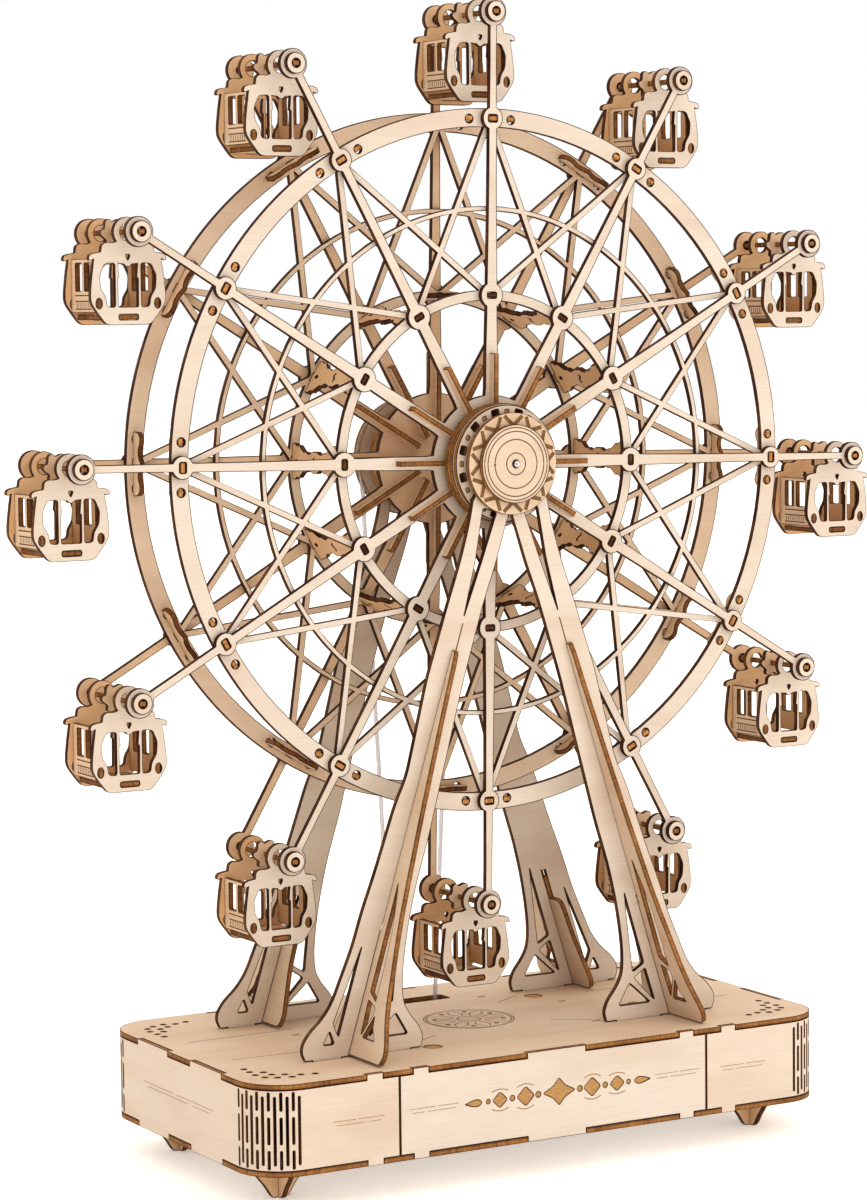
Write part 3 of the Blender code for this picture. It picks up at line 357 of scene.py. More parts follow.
def engraved_wood():
    """The floor of an engraved line or field: golden brown, and dark where the beam turned at its rim."""
    finish = new_finish("engraved_wood", {"Roughness": 0.75})
    passes = streaks(finish, carried(finish, "board")["Vector"], (0.5, 3.5, 0), detail=4)
    toasted = graded(
        finish, passes, (0.3, (0.4, 0.23, 0.095)), (0.55, (0.56, 0.36, 0.17)), (0.7, (0.64, 0.45, 0.24))
    )
    burn = graded(finish, carried(finish, "scorch")["Fac"], (0.1, (0,)), (0.9, (1,)))
    feed(finish, blended(finish, burn, toasted, (0.095, 0.034, 0.012, 1)), "Base Color")
    emboss(finish, passes, 0.3, 0.0001)
    return finish


PLYWOOD = (birch_face(), burnt_edge(), engraved_wood())


def shown(name, data):
    thing = bpy.data.objects.new(name, data)
    bpy.context.scene.collection.objects.link(thing)
    return thing


def piece(name, mesh, body, nodes=(), finishes=PLYWOOD):
    """Makes a finished piece that rides on its body and stands for the named nodes."""
    bmesh.ops.recalc_face_normals(mesh, faces=mesh.faces[:])
    data = bpy.data.meshes.new(name)
    mesh.to_mesh(data)
    mesh.free()
    for finish in finishes:
        data.materials.append(finish)
    data.shade_smooth()
    data.set_sharp_from_angle(angle=radians(28))
    thing = shown(name, data)
    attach(thing, body)
    if nodes:
        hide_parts(*nodes)


def notched(length, places):
    """One straight side from left to right, with a notch for each tab given by its two ends."""
    points = [(-length / 2, 0)]
    for start, end in sorted(places):
        points += [(start - FIT, 0), (start - FIT, SHEET + FIT), (end + FIT, SHEET + FIT), (end + FIT, 0)]
    return points + [(length / 2, 0)]


LONG_TABS = [(-MIDDLE_TAB_HALF, MIDDLE_TAB_HALF)]
for place in (50.2, 66.8):
    LONG_TABS += [(side * place - TAB_HALF, side * place + TAB_HALF) for side in (-1, 1)]
END_TABS = [(-30.7, -8.3), (8.3, 30.7)]
reach_u, reach_v = BOX_LENGTH / 2 - BOX_CORNER, BOX_DEPTH / 2 - BOX_CORNER
long_side, end_side = notched(2 * reach_u, LONG_TABS), notched(2 * reach_v, END_TABS)
plate_outline = []
for side, corner in enumerate(((1, -1), (1, 1), (-1, 1), (-1, -1))):
    line = end_side if side % 2 else long_side
    inset = BOX_LENGTH / 2 if side % 2 else BOX_DEPTH / 2
    plate_outline += turned([(u, v - inset) for u, v in line], 90 * side)
    bend = arc((corner[0] * reach_u, corner[1] * reach_v), BOX_CORNER, 90 * (side - 1), 90 * side, 16)
    plate_outline += bend[1:-1]

boards = new_boards()
key_hole = circle(PIN_HOLE, centre=KEY_PLACE)
cut_sheet(boards, level, plate_outline, FOOT_HEIGHT, FOOT_HEIGHT + SHEET, [key_hole])
piece("bottom_plate_sheet", boards, "base", ["base_bottom_plate"])

deck_holes = []
for low in (-FRAME_FACE, FRAME_FACE - SHEET):
    for start, end in LEG_TABS:
        for left, right in ((start, end), (-end, -start)):
            deck_holes.append(corners_of(left - FIT, low - FIT, right + FIT, low + SHEET + FIT))
deck_holes.append(softened(corners_of(*BELT_SLOT), 1))
corner_dots = (
    (98.6, -29), (98.9, -33.6), (99.3, -38.4), (95.4, -36.2), (98.2, -42.8), (94.6, -40.4), (91, -42.4),
    (95, -45.2), (90.6, -46.6), (86.8, -45.2), (82.4, -46.4),
)
for u, v in corner_dots:
    for side_u in (-1, 1):
        for side_v in (-1, 1):
            deck_holes.append(circle(DOT_RADIUS, 14, (side_u * u, side_v * v)))
deck_lines, deck_fields = [], []
for side in (-1, 1):
    deck_lines.append(stroke([(side * 95.4, 16.2), (side * 57.8, 16.7)]))
    deck_lines.append(stroke([(side * 95.4, -14.6), (side * 67.6, -16.2)]))
    deck_lines.append(stroke([(side * 34, 24.4), (side * 22, 17)], 0.28))
    deck_lines.append(stroke([(side * 34, -24.4), (side * 22, -17)], 0.28))
twin_marks = (
    (22.6, 28.8), (41.8, 7.2), (-22.6, 28.8), (-41.8, 7.2), (34.5, -26.4), (-60.7, 7.8), (60.7, -7.8),
)
for u, v in twin_marks:
    for shift in (-0.55, 0.55):
        deck_lines.append(stroke([(u - 1.5, v + shift), (u + 1.5, v + shift)], 0.45))
deck_fields += [circle(PLUG_RADIUS, centre=place) for place in ((-32, -32.5), (38.2, 20))]
# an engraved rosette of eight leaves between two rings
for radius in (15.2, 14.3, 3.9):
    for start in (0, 180):
        deck_lines.append(stroke(arc(ROSETTE_MIDDLE, radius, start, start + 179, 40), ROSETTE_LINE))
for leaf in range(8):
    bulge = [(4.7 + 9 * i / 10, 2.2 * sin(pi * i / 10)) for i in range(1, 10)]
    for flip in (-1, 1):
        leaf_side = turned([(u, flip * v) for u, v in bulge], 45 * leaf, ROSETTE_MIDDLE)
        deck_lines.append(stroke(leaf_side, ROSETTE_LINE))
    deck_fields.append(turned(circle(0.8, 12, (11.6, 0)), 45 * leaf + 22.5, ROSETTE_MIDDLE))
boards = new_boards()
deck_cuts = (deck_holes, deck_lines, deck_fields)
# painted shade: the deck is drawn in a deeper, warmer veneer than the front panel, for the dimmer light that
# falls on it
cut_sheet(boards, level, plate_outline, DECK_TOP, DECK_TOP - SHEET, *deck_cuts, burn=0.5, tone_and_shade=0.3)
piece("top_plate_sheet", boards, "base", ["base_top_plate"])


# BOX WALLS
# Front and rear panels are flat sheets. Each end wall is one longer sheet that bends round both corners on
# rows of slits, a living hinge, and meets the panels in a plain seam. All stand on tabs through both plates.
WALL_LOW = FOOT_HEIGHT + SHEET + FIT
WALL_HIGH = DECK_TOP - SHEET - FIT
SEAM = 58
HINGE_START = 42.6
HINGE_STEP = 1.95
HINGE_ROWS = 12
SLIT_HALF = 0.36
SHORT_SLITS = ((13.75, 19.6), (21.6, 30.1), (32.2, 37.95))
LONG_SLIT = ((15, 36.6),)
LINES_HEIGHT = 26.7
WALL_DEPTH = 0.07


def upright(u, v, w):
    return level(u, w, v)


def tabbed(start, end, tabs):
    """A wall's outline with the tabs that reach through the floor and the deck."""
    low, high = [(start, WALL_LOW)], []
    for left, right in sorted(tabs):
        low += [(left, WALL_LOW), (left, FOOT_HEIGHT), (right, FOOT_HEIGHT), (right, WALL_LOW)]
        high += [(left, WALL_HIGH), (left, DECK_TOP), (right, DECK_TOP), (right, WALL_HIGH)]
    return low + [(end, WALL_LOW), (end, WALL_HIGH)] + high[::-1] + [(start, WALL_HIGH)]


def double_line(left, right, height, gap=1.3, width=0.17):
    """A pair of broken engraved lines, one over the other."""
    length = right - left
    spans = ((0, 0.52, 0.5), (0.57, 1, 0.5), (0.06, 0.3, -0.5), (0.36, 0.94, -0.5))
    return [
        stroke([(left + length * a, height + gap * b), (left + length * c, height + gap * b)], width)
        for a, c, b in spans
    ]


def panel_ornament(middle, height):
    """A running band of lozenges, beads and leaves."""
    fields, lines = [], []
    lozenge = [(-6.2, 0), (-2.2, -2), (0, -4.6), (2.2, -2), (6.2, 0), (2.2, 2), (0, 4.6), (-2.2, 2)]
    fields.append([(middle + u, height + v) for u, v in softened(lozenge, 0.8)])
    for side in (-1, 1):
        for centre, width, tall in ((12.6, 3.4, 3.3), (22.2, 2.9, 2.7)):
            place = middle + side * centre
            shape = [(-width, 0), (0, -tall), (width, 0), (0, tall)]
            fields.append([(place + u, height + v) for u, v in softened(shape, 0.9)])
        for centre, radius in ((7.9, 1), (17.6, 0.95), (26.6, 0.8)):
            fields.append(circle(radius, 18, (middle + side * centre, height)))
        leaf = [(28.6, 0), (30.2, 1.25), (32.4, 1), (35.4, 0), (32.4, -1), (30.2, -1.25)]
        fields.append([(middle + side * u, height + v) for u, v in softened(leaf, 0.8)])
        for rise in (-1, 1):
            for start, off, bulge in ((9.6, 3.2, 0.9), (19, 2.8, 0.7)):
                sweep = [(start + 0.9 * i, off + bulge * sin(pi * i / 7)) for i in range(8)]
                lines.append(stroke([(middle + side * u, height + rise * v) for u, v in sweep], 0.3))
    return lines, fields


panel_tabs = [span for span in LONG_TABS if abs(span[0]) < SEAM]
panel_outline = tabbed(-SEAM + FIT, SEAM - FIT, panel_tabs)
for name, side in FACINGS:
    lines = double_line(-54.5, -36.5, LINES_HEIGHT) + double_line(37.5, 55, LINES_HEIGHT)
    fields = []
    if side < 0:
        ornament = panel_ornament(0.8, 26.4)
        lines, fields = lines + ornament[0], ornament[1]
    boards = new_boards()
    edge = side * BOX_DEPTH / 2
    cut_sheet(
        boards, upright, panel_outline, edge, edge - side * SHEET, (), lines, fields,
        burn=0.2, tone_and_shade=0, depth=WALL_DEPTH,
    )
    piece(f"{name}_wall_sheet", boards, "base", [f"{name}_panel"])

bend_length = BOX_CORNER * pi / 2
front_run = reach_v + bend_length
end_tabs = [*END_TABS]
for side in (-1, 1):
    end_tabs.append(tuple(sorted(side * (front_run + reach_u - place) for place in (64, 69.6))))
wall_end = front_run + reach_u - SEAM - FIT
slits = []
for row in range(HINGE_ROWS):
    for side in (-1, 1):
        place = side * (HINGE_START + HINGE_STEP * row)
        for low, high in LONG_SLIT if row % 2 else SHORT_SLITS:
            slits.append(softened(corners_of(place - SLIT_HALF, low, place + SLIT_HALF, high), 0.34, 2))


def bent_wall(side):
    """A flat drawing, by length along the wall, bent round both corners of one end of the box."""

    def placed(u, v, w):
        run, turn = abs(u), min(max((abs(u) - reach_v) / BOX_CORNER, 0), pi / 2)
        along = reach_u + (BOX_CORNER - w) * cos(turn) - max(run - front_run, 0)
        across = min(run, reach_v) + (BOX_CORNER - w) * sin(turn)
        return level(side * along, across if u > 0 else -across, v)

    return placed


for name, side in (("right", 1), ("left", -1)):
    lines = double_line(-25, 27, 26.6) + double_line(76, 94, 26.2) + double_line(-94, -76, 26.2)
    boards = new_boards()
    # painted shade: the end walls, which face sideways, are drawn a little warmer and deeper than the panels
    cut_sheet(
        boards, lambda *flat: Vector(flat), tabbed(-wall_end, wall_end, end_tabs), 0, SHEET, slits, lines,
        rim=0.24, burn=0.2, tone_and_shade=0.12, depth=WALL_DEPTH,
    )
    for end in (-1, 1):
        for i in range(HINGE_ROWS + 1):
            crease = end * (reach_v + bend_length * i / HINGE_ROWS)
            everything = boards.verts[:] + boards.edges[:] + boards.faces[:]
            bmesh.ops.bisect_plane(boards, geom=everything, plane_co=(crease, 0, 0), plane_no=(1, 0, 0))
    placed = bent_wall(side)
    for corner in boards.verts:
        corner.co = placed(*corner.co)
    piece(f"{name}_wall_sheet", boards, "base", [f"{name}_end_wall"])


# FEET
# Each foot is two small tapered plywood plates that cross in a half lap under the bottom plate. Their whole
# outline is browned by the cut, and their faces are drawn in a deeper veneer as painted shade, so a foot
# looks darker than the box.
FOOT_PLACES = {"front_left": (-1, -1), "front_right": (1, -1), "rear_left": (-1, 1), "rear_right": (1, 1)}
FOOT_X, FOOT_Y = 90.2, 35.9
FOOT_TOP = FOOT_HEIGHT - FIT
HALF_SHEET = SHEET / 2
foot_line = [(1.7, 0), (2.8, 0.2), (3.6, 1.2), (4.7, 3), (5.9, 4.7), (7.3, 6.3), (8.6, 8.2), (9.2, FOOT_TOP)]
foot_edge = softened(foot_line, 0.8, closed=False)
for name, (side, facing) in FOOT_PLACES.items():
    boards = new_boards()

    def along_front(u, v, w, side=side, facing=facing):
        return level(side * FOOT_X + u, facing * FOOT_Y + w, v)

    def along_side(u, v, w, side=side, facing=facing):
        return level(side * FOOT_X + w, facing * FOOT_Y + u, v)

    whole = foot_edge + mirrored(foot_edge)
    half = foot_edge + [(HALF_SHEET + 0.02, FOOT_TOP), (HALF_SHEET + 0.02, 0)]
    for across, plate in ((along_front, whole), (along_side, half), (along_side, mirrored(half))):
        # painted shade: the foot plates' faces are drawn in a deep veneer for the shade under the box
        cut_sheet(boards, across, plate, -HALF_SHEET, HALF_SHEET, char=0.95, tone_and_shade=0.7)
    piece(f"{name}_foot_plates", boards, "base", [f"foot_{name}"])


# A-FRAMES
# One sheet in front of the wheel and one behind it: two curved legs with cut-out triangles at their feet and
# a long gap under the round head that carries the axle. Two tabs on each foot go down through the deck.
AXLE_RISE = 187.53
AXLE = DECK_TOP + AXLE_RISE
LEG_CENTRE = 61.5
LEG_SLOPE = 0.312
HEAD_RADIUS = 15.5
SLOT_TOP = 41.9
HEEL = 0.3
tilt = atan(LEG_SLOPE)


def over_deck(u, v, w):
    return upright(u, v + DECK_TOP, w)


leg_outer = (
    (77.8, 0.3), (79, 2.8), (78.7, 5.6), (76.2, 9.2), (71.7, 12.9), (67.9, 17.8), (64.4, 25.8),
    (60.4, 34.8), (56.3, 46.9), (51.6, 58.6), (43.8, 80.2), (39.6, 88.6), (31.8, 119.2), (24.3, 141.5),
    (19, 156.4), (15.6, 168), (14, 175.9),
)
leg_inner = (
    (0, 173.5), (5.5, 156), (10.5, 142.7), (18.5, 117.2), (31.8, 68.4), (36.7, 53.1), (39.4, 42),
    (41.1, 32.6), (42.2, 23.4), (42, 15.9), (39.6, 11.4), (36.1, 7.4), (34.6, 3.4), (35.6, 0.3),
)
leg_openings = (
    [(17.9, 138.6), (13.3, 156.6), (10.3, 173.5), (5.2, 172), (10.9, 156.6)],
    [(42.8, 43.3), (50.5, 18.6), (46, 15.9)],
    [(46.5, 13.9), (51, 16.9), (54.7, 5.6)],
    [(44.7, 12.4), (53, 5.1), (40.4, 5.1)],
    [(56.8, 35.4), (67.6, 11.4), (65.8, 6.8)],
    [(67.3, 4.7), (71.4, 4.7), (68.9, 9.2)],
)
slot = (HALF_SHEET + 0.12) / cos(tilt)
half_frame = softened(leg_inner, 4, 4, closed=False)
for number, (start, end) in enumerate(LEG_TABS):
    half_frame += [(start, HEEL), (start, -SHEET), (end, -SHEET), (end, HEEL)]
    if number == 0:
        low, high = ((LEG_CENTRE - LEG_SLOPE * height, height) for height in (HEEL, SLOT_TOP))
        slot_corners = ((low, -slot), (high, -slot), (high, slot), (low, slot))
        half_frame += [(u + shift, v) for (u, v), shift in slot_corners]
half_frame += softened(leg_outer, 4, 4, closed=False)
half_frame += arc((0, AXLE_RISE), HEAD_RADIUS, -36, 90, 24)
openings = []
for loop in leg_openings:
    eased = softened(loop, 0.9)
    openings += [eased, mirrored(eased)]
slit = stroke([(18.3, 136.6), (21.9, 125)], 0.4)
frame_outline = half_frame + mirrored(half_frame)[1:-1]
frame_cuts = ([*openings, circle(PIN_HOLE, centre=(0, AXLE_RISE))], [slit, mirrored(slit)])
for name, facing in FACINGS:
    boards = new_boards()
    face = facing * FRAME_FACE
    cut_sheet(boards, over_deck, frame_outline, face, face - facing * SHEET, *frame_cuts, char=0.85, burn=0.4)
    piece(f"{name}_a_frame_sheet", boards, "base", [f"{name}_a_frame"])


# LEG FINS
# A tapering plate stands square to each leg and braces it: it drops into the leg's slot, with a tall blade
# on the outer side, a short one towards the wheel and a braced window near the deck. Its whole edge is brown.
fin_outer = (
    (50, 0), (51.2, 1.4), (52, 3.4), (51.7, 5.4), (50.2, 8.8), (48.2, 12.6), (46, 19), (44.4, 27),
    (42.4, 36), (40.6, 46), (39.2, 58), (37.6, 72), (35.7, 93), (34.2, 111), (33.3, 125),
    (32.6, 128), (31.5, 128),
)
fin_inner = (
    (29.1, 31.9), (24.2, 31.9), (22.9, 30.6), (22.2, 27.8), (21.4, 19.4), (18.9, 10.1), (17.3, 4.4),
    (18.1, 1.4), (20, 0),
)
fin_openings = (
    [(34.5, 55), (36.6, 47.9), (38.3, 39.4), (39.1, 27.5), (38.9, 21.2), (39.3, 18.4), (34.5, 20.8)],
    [(34.5, 18.3), (39.7, 16.6), (39.6, 14.2), (35.3, 7.3)],
    [(40.9, 14.3), (41.5, 10.4), (44.6, 6.9), (36.6, 6.9)],
)
SLOT_FRONT, SLOT_BACK = FRAME_FACE + 0.15, FRAME_FACE - SHEET - 0.15
foot = (FIT + HALF_SHEET * sin(tilt)) / cos(tilt)


def fin_line(points):
    return [(u, max(v / cos(tilt), foot)) for u, v in points]


fin_outline = fin_line(softened(fin_outer, 2.5, closed=False))
fin_outline += [(SLOT_FRONT, 128 / cos(tilt)), (SLOT_FRONT, 41.3), (SLOT_BACK, 41.3), (SLOT_BACK, 33)]
fin_outline += fin_line(softened(fin_inner, 1.5, closed=False))
for facing_name, facing in FACINGS:
    for side_name, side in (("left", -1), ("right", 1)):

        def leaning(u, v, w, side=side, facing=facing):
            along = side * (LEG_CENTRE - v * sin(tilt) + w * cos(tilt))
            return level(along, facing * u, DECK_TOP + v * cos(tilt) + w * sin(tilt))

        boards = new_boards()
        loops = [softened(fin_line(loop), 0.8) for loop in fin_openings]
        cut_sheet(boards, leaning, fin_outline, -HALF_SHEET, HALF_SHEET, loops, char=0.5, tone_and_shade=0.35)
        piece(f"fin_sheet_{facing_name}_{side_name}", boards, "base", [f"leg_fin_{facing_name}_{side_name}"])


# WHEEL LATTICES
# Two like sheets, front and rear, each cut in one: an outer ring, a thin ring, an inner ring and 24 crossing
# laths. Small browned splice plates stand across the inside of each outer ring, with their tabs through it.
SPOKES = 12
SECTOR = 360 / SPOKES
PHASE = -1
LATTICE_PLACE = 15.7
STAR_PLACE = 17.6
RING_OUTER, RING_INNER = 114.7, 108.7
THIN_OUTER, THIN_INNER = 83.2, 81.6
INNER_OUTER, INNER_INNER = 56, 52.6
NODE_RADIUS, INNER_NODE_RADIUS = 111.4, 54.3
PIVOT_RADIUS = 145.7
LATH = 2


def on_wheel(u, v, w):
    """A drawing of the wheel, with spoke 1 along u, placed at the wheel's own small turn."""
    c, s = cos(radians(PHASE)), sin(radians(PHASE))
    return level(u * c - v * s, w, u * s + v * c + AXLE)


def lath_edge(outer_node, inner_node, side):
    start = Vector(turned([(NODE_RADIUS, 0)], SECTOR * outer_node)[0])
    along = (Vector(turned([(INNER_NODE_RADIUS, 0)], SECTOR * inner_node)[0]) - start).normalized()
    return start + Vector((-along.y, along.x)) * side * LATH / 2, along


def meeting(first, second):
    gap = second[0] - first[0]
    step = (gap.x * second[1].y - gap.y * second[1].x) / (first[1].x * second[1].y - first[1].y * second[1].x)
    return tuple(first[0] + first[1] * step)


def between_on_ring(radius, first, last, steps):
    """The stretch of a ring from one edge to another."""
    bearings = []
    for start, along in (first, last):
        inward = start.dot(along)
        point = start + along * (-inward - sqrt(inward * inward - start.length_squared + radius * radius))
        bearings.append(degrees(atan2(point.y, point.x)))
    return arc((0, 0), radius, *bearings, steps)


rising, rising_far = lath_edge(0, 1, 1), lath_edge(0, 1, -1)
falling, falling_far = lath_edge(1, 0, 1), lath_edge(1, 0, -1)
left, left_low = lath_edge(0, -1, -1), lath_edge(-1, 0, -1)
sector = [
    [meeting(rising, left), *between_on_ring(THIN_OUTER, left, rising, 3)],
    [
        *between_on_ring(RING_INNER, rising_far, falling, 10),
        *between_on_ring(THIN_OUTER, falling, rising_far, 8),
    ],
    [*between_on_ring(THIN_INNER, rising_far, falling, 4), meeting(rising_far, falling)],
    [
        *between_on_ring(THIN_INNER, left, rising, 6), meeting(rising, falling),
        *between_on_ring(INNER_OUTER, falling, left_low, 3), meeting(left, left_low),
    ],
    [*between_on_ring(INNER_OUTER, falling_far, rising, 5), meeting(rising, falling_far)],
]
ring_holes = []
for k in range(SPOKES):
    ring_holes += [turned(loop, SECTOR * k) for loop in sector]
    for offset in (-4.05, 4.05):
        ring_holes.append(turned(circle(1.42, 16, (NODE_RADIUS, 0)), SECTOR * k + offset))
    for radius in (NODE_RADIUS, INNER_NODE_RADIUS):
        loop = softened(corners_of(radius - 0.95, -1.65, radius + 0.95, 1.65), 0.4, 2)
        ring_holes.append(turned(loop, SECTOR * k))
ring_holes.append(circle(INNER_INNER, 120))
for name, facing in FACINGS:
    boards = new_boards()
    outer_face = facing * (LATTICE_PLACE + SHEET)
    # painted shade: the rear lattice is drawn in a browner veneer than the front one, for the shade it lies
    # in
    cut_sheet(
        boards, on_wheel, circle(RING_OUTER, 192), outer_face, facing * LATTICE_PLACE, ring_holes,
        char=0.95, tone_and_shade=0.2 + 0.17 * facing,
    )
    piece(f"{name}_lattice_sheet", boards, "wheel", [f"{name}_lattice"])


def across_spoke(angle, radius):
    """A drawing that lies across a spoke: u runs round the wheel, v along its axle, w outwards."""
    turn = radians(PHASE + angle)
    outward, around = Vector((cos(turn), 0, sin(turn))), Vector((-sin(turn), 0, cos(turn)))

    def placed(u, v, w):
        return (outward * (radius + w) + around * u + Vector((0, v, AXLE))) * MM

    return placed


splice_wave = [(10.2, 15.6), (10.3, 12.6), (8.6, 10.6), (6.4, 10.9), (4.6, 12.2), (2.2, 11.9), (0, 10.2)]
splice_half = [
    (0, 19.1), (1.5, 19.1), (1.5, 15.6), (6.7, 15.6), (6.7, 17.3), (9, 17.3), (9, 15.6),
    *softened(splice_wave, 1.4, closed=False),
]
splice_outline = splice_half[:-1] + mirrored(splice_half)[:-1]


def paler_tips(u, v):
    """The tabs' ends are drawn paler than the plate's other edges."""
    return 0.1 if abs(v) > 17 else 0.75


for name, facing in FACINGS:
    boards = new_boards()
    shape = [(u, facing * v) for u, v in splice_outline]
    for k in range(SPOKES):
        placed = across_spoke(SECTOR * k, NODE_RADIUS)
        cut_sheet(boards, placed, shape, HALF_SHEET, -HALF_SHEET, char=paler_tips, tone_and_shade=0.6)
    piece(f"{name}_splice_plates", boards, "wheel")


# SPOKE STARS
# Outside each lattice lies a star cut in one sheet: a hub disc with twelve tapering spokes. Bosses on a spoke
# take the tabs of the ties and splices, and its end disc carries a cabin's axle. Fins stand through the hub.
HUB_DISC = 21.9
SPOKE_END = 4.75
FIN_START, FIN_END = 8, 35.5
FIN_LOW, FIN_HIGH = 15, 22.3


def boss(place, radius, before, after, steps=8):
    start, end = 180 + degrees(asin(before / radius)), 360 - degrees(asin(after / radius))
    return arc((place, 0), radius, start, end, steps)


hub_line = arc((0, 0), HUB_DISC, -15, -degrees(asin(2.5 / HUB_DISC)), 4)
spoke_side = hub_line + [(24.5, -2.3), (37, -2.25), (48, -2)]
spoke_side += boss(INNER_NODE_RADIUS, 4.1, 1.95, 1.9) + [(80, -1.6), (95, -1.5)]
spoke_side += boss(NODE_RADIUS, 3.7, 1.45, 1.35) + [(130, -1.25)]
end_turn = 180 - degrees(asin(1.25 / SPOKE_END))
spoke = spoke_side + arc((PIVOT_RADIUS, 0), SPOKE_END, -end_turn, end_turn, 26) + flipped(spoke_side)[:-1]
star_outline, star_holes = [], [circle(PIN_HOLE)]
for k in range(SPOKES):
    star_outline += turned(spoke, SECTOR * k)
    star_holes.append(turned(circle(1.5, 16, (PIVOT_RADIUS, 0)), SECTOR * k))
    for radius, half in ((NODE_RADIUS, 1.2), (INNER_NODE_RADIUS, 1)):
        loop = softened(corners_of(radius - half, -1.7, radius + half, 1.7), 0.5, 2)
        star_holes.append(turned(loop, SECTOR * k))


def along_spoke(angle, facing):
    """A drawing that stands on a spoke: u runs out along it, v along the axle, w round the wheel."""
    across = across_spoke(angle, 0)
    return lambda u, v, w: across(w, facing * v, u)


hub_fin = softened(corners_of(FIN_START, FIN_LOW, FIN_END, FIN_HIGH), 0.5, 2)
for name, facing in FACINGS:
    boards = new_boards()
    # painted shade: the rear star is drawn in a browner veneer than the front one, for the shade it lies in
    cut_sheet(
        boards, on_wheel, star_outline, facing * (STAR_PLACE + SHEET), facing * STAR_PLACE, star_holes,
        char=0.95, tone_and_shade=0.3 + 0.27 * facing,
    )
    for k in range(SPOKES):
        cut_sheet(boards, along_spoke(SECTOR * k, facing), hub_fin, -HALF_SHEET, HALF_SHEET, tone_and_shade=0.5)
    piece(f"{name}_spoke_star", boards, "wheel", [f"{name}_spokes"])


# HUB DRUMS
# On each side three plywood discs are stacked on the fins and a fourth, slightly smaller, lies on top. It has
# twelve square holes near its rim, and the fins' small tab ends show as browned spots between them.
DRUM_PLACE = 22.6
DRUM_RADII = (19.4, 19.4, 19.4, 18.9)
drum_hole = softened(corners_of(15.8, -1.35, 17.9, 1.35), 0.35, 2)
tab_spot = softened(corners_of(16.2, -0.8, 17.5, 0.8), 0.3, 2)
drum_holes = [circle(PIN_HOLE)] + [turned(drum_hole, SECTOR * (k + 0.5)) for k in range(SPOKES)]
tab_spots = [turned(tab_spot, SECTOR * k) for k in range(SPOKES)]
for name, facing in FACINGS:
    boards = new_boards()
    for i, radius in enumerate(DRUM_RADII):
        back = facing * (DRUM_PLACE + SHEET * i)
        spots = tab_spots if radius < DRUM_RADII[0] else ()
        # painted shade: the rear drum discs are drawn in a much deeper, browner veneer than the front ones,
        # for the shade inside the wheel
        cut_sheet(
            boards, on_wheel, circle(radius, 96), back + facing * SHEET, back, drum_holes, (), spots,
            tone_and_shade=0.55 + 0.4 * facing,
        )
    piece(f"{name}_drum_discs", boards, "wheel", [f"{name}_hub_drum"])


# TIES
# Twelve plywood ties join the two inner rings. Each is a flat bat-wing shape with a narrow waist, scalloped
# edges and small cut curls, and its ends go through the ring and the spoke's boss outside it.
tie_wing = [
    (5.8, 15.4), (6, 13.4), (5, 12.2), (5.5, 10.8), (4.4, 9.4), (3.1, 7.6), (3.5, 6.2), (2.5, 4.6),
    (2.9, 2.6), (3.7, 1.3), (3.4, 0),
]
tie_quarter = [(1.5, 19.1), (1.5, 15.4)] + softened(tie_wing, 0.9, closed=False)
tie_side = tie_quarter + flipped(tie_quarter)[1:]
tie_outline = tie_side + mirrored(tie_side)
curl = stroke([(-1.4, 0.3), (-0.7, 1), (0.1, 0.5), (0.8, -0.4), (1.5, 0.2)], 0.45)
drop = [(0, 11.4), (0.7, 12.6), (0, 13.6), (-0.7, 12.6)]
tie_holes = [curl, softened(drop, 0.5), softened([(u, -v) for u, v in drop], 0.5)]
for k in range(SPOKES):
    boards = new_boards()
    placed = across_spoke(SECTOR * k, INNER_NODE_RADIUS)
    cut_sheet(boards, placed, tie_outline, HALF_SHEET, -HALF_SHEET, tie_holes, char=0.9, tone_and_shade=0.85)
    piece(f"tie_sheet_{k + 1:02d}", boards, "wheel", [f"tie_{k + 1:02d}"])


# AXLE, SUNBURST AND CAP
# The wheel turns on a ground steel pin through both frames. On its front end sit a disc engraved with a
# sunburst of twelve V strokes and, on top of it, a smaller cap disc with fine engraved circles.
SUNBURST_PLACE = FRAME_FACE + FIT
SUNBURST_RADIUS = 16.5
CAP_PLACE = SUNBURST_PLACE + SHEET + FIT
CAP_RADIUS = 12.7
PIN_RADIUS, TIP_RADIUS = 1.5, 1.1


def metal(name, colour, dark, roughness, scale):
    """Turned or stamped metal with fine tool marks and a little dulling."""
    finish = new_finish(name, {"Metallic": 1})
    place = wired(finish, "TexCoord", {})["Object"]
    marks = streaks(finish, place, scale)
    dull = streaks(finish, place, (160, 160, 160), detail=3)
    feed(finish, graded(finish, dull, (0.35, dark), (0.6, colour)), "Base Color")
    feed(finish, graded(finish, marks, (0.3, (roughness * 0.7,)), (0.7, (roughness * 1.4,))), "Roughness")
    emboss(finish, marks, 0.2, 0.00003)
    return finish


STEEL = metal("ground_steel", (0.62, 0.62, 0.64), (0.42, 0.42, 0.44), 0.28, (900, 4000, 900))


def refinish(node, finish):
    """Gives a CAD node its finish."""
    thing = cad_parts[node]
    thing.data.materials.clear()
    thing.data.materials.append(finish)


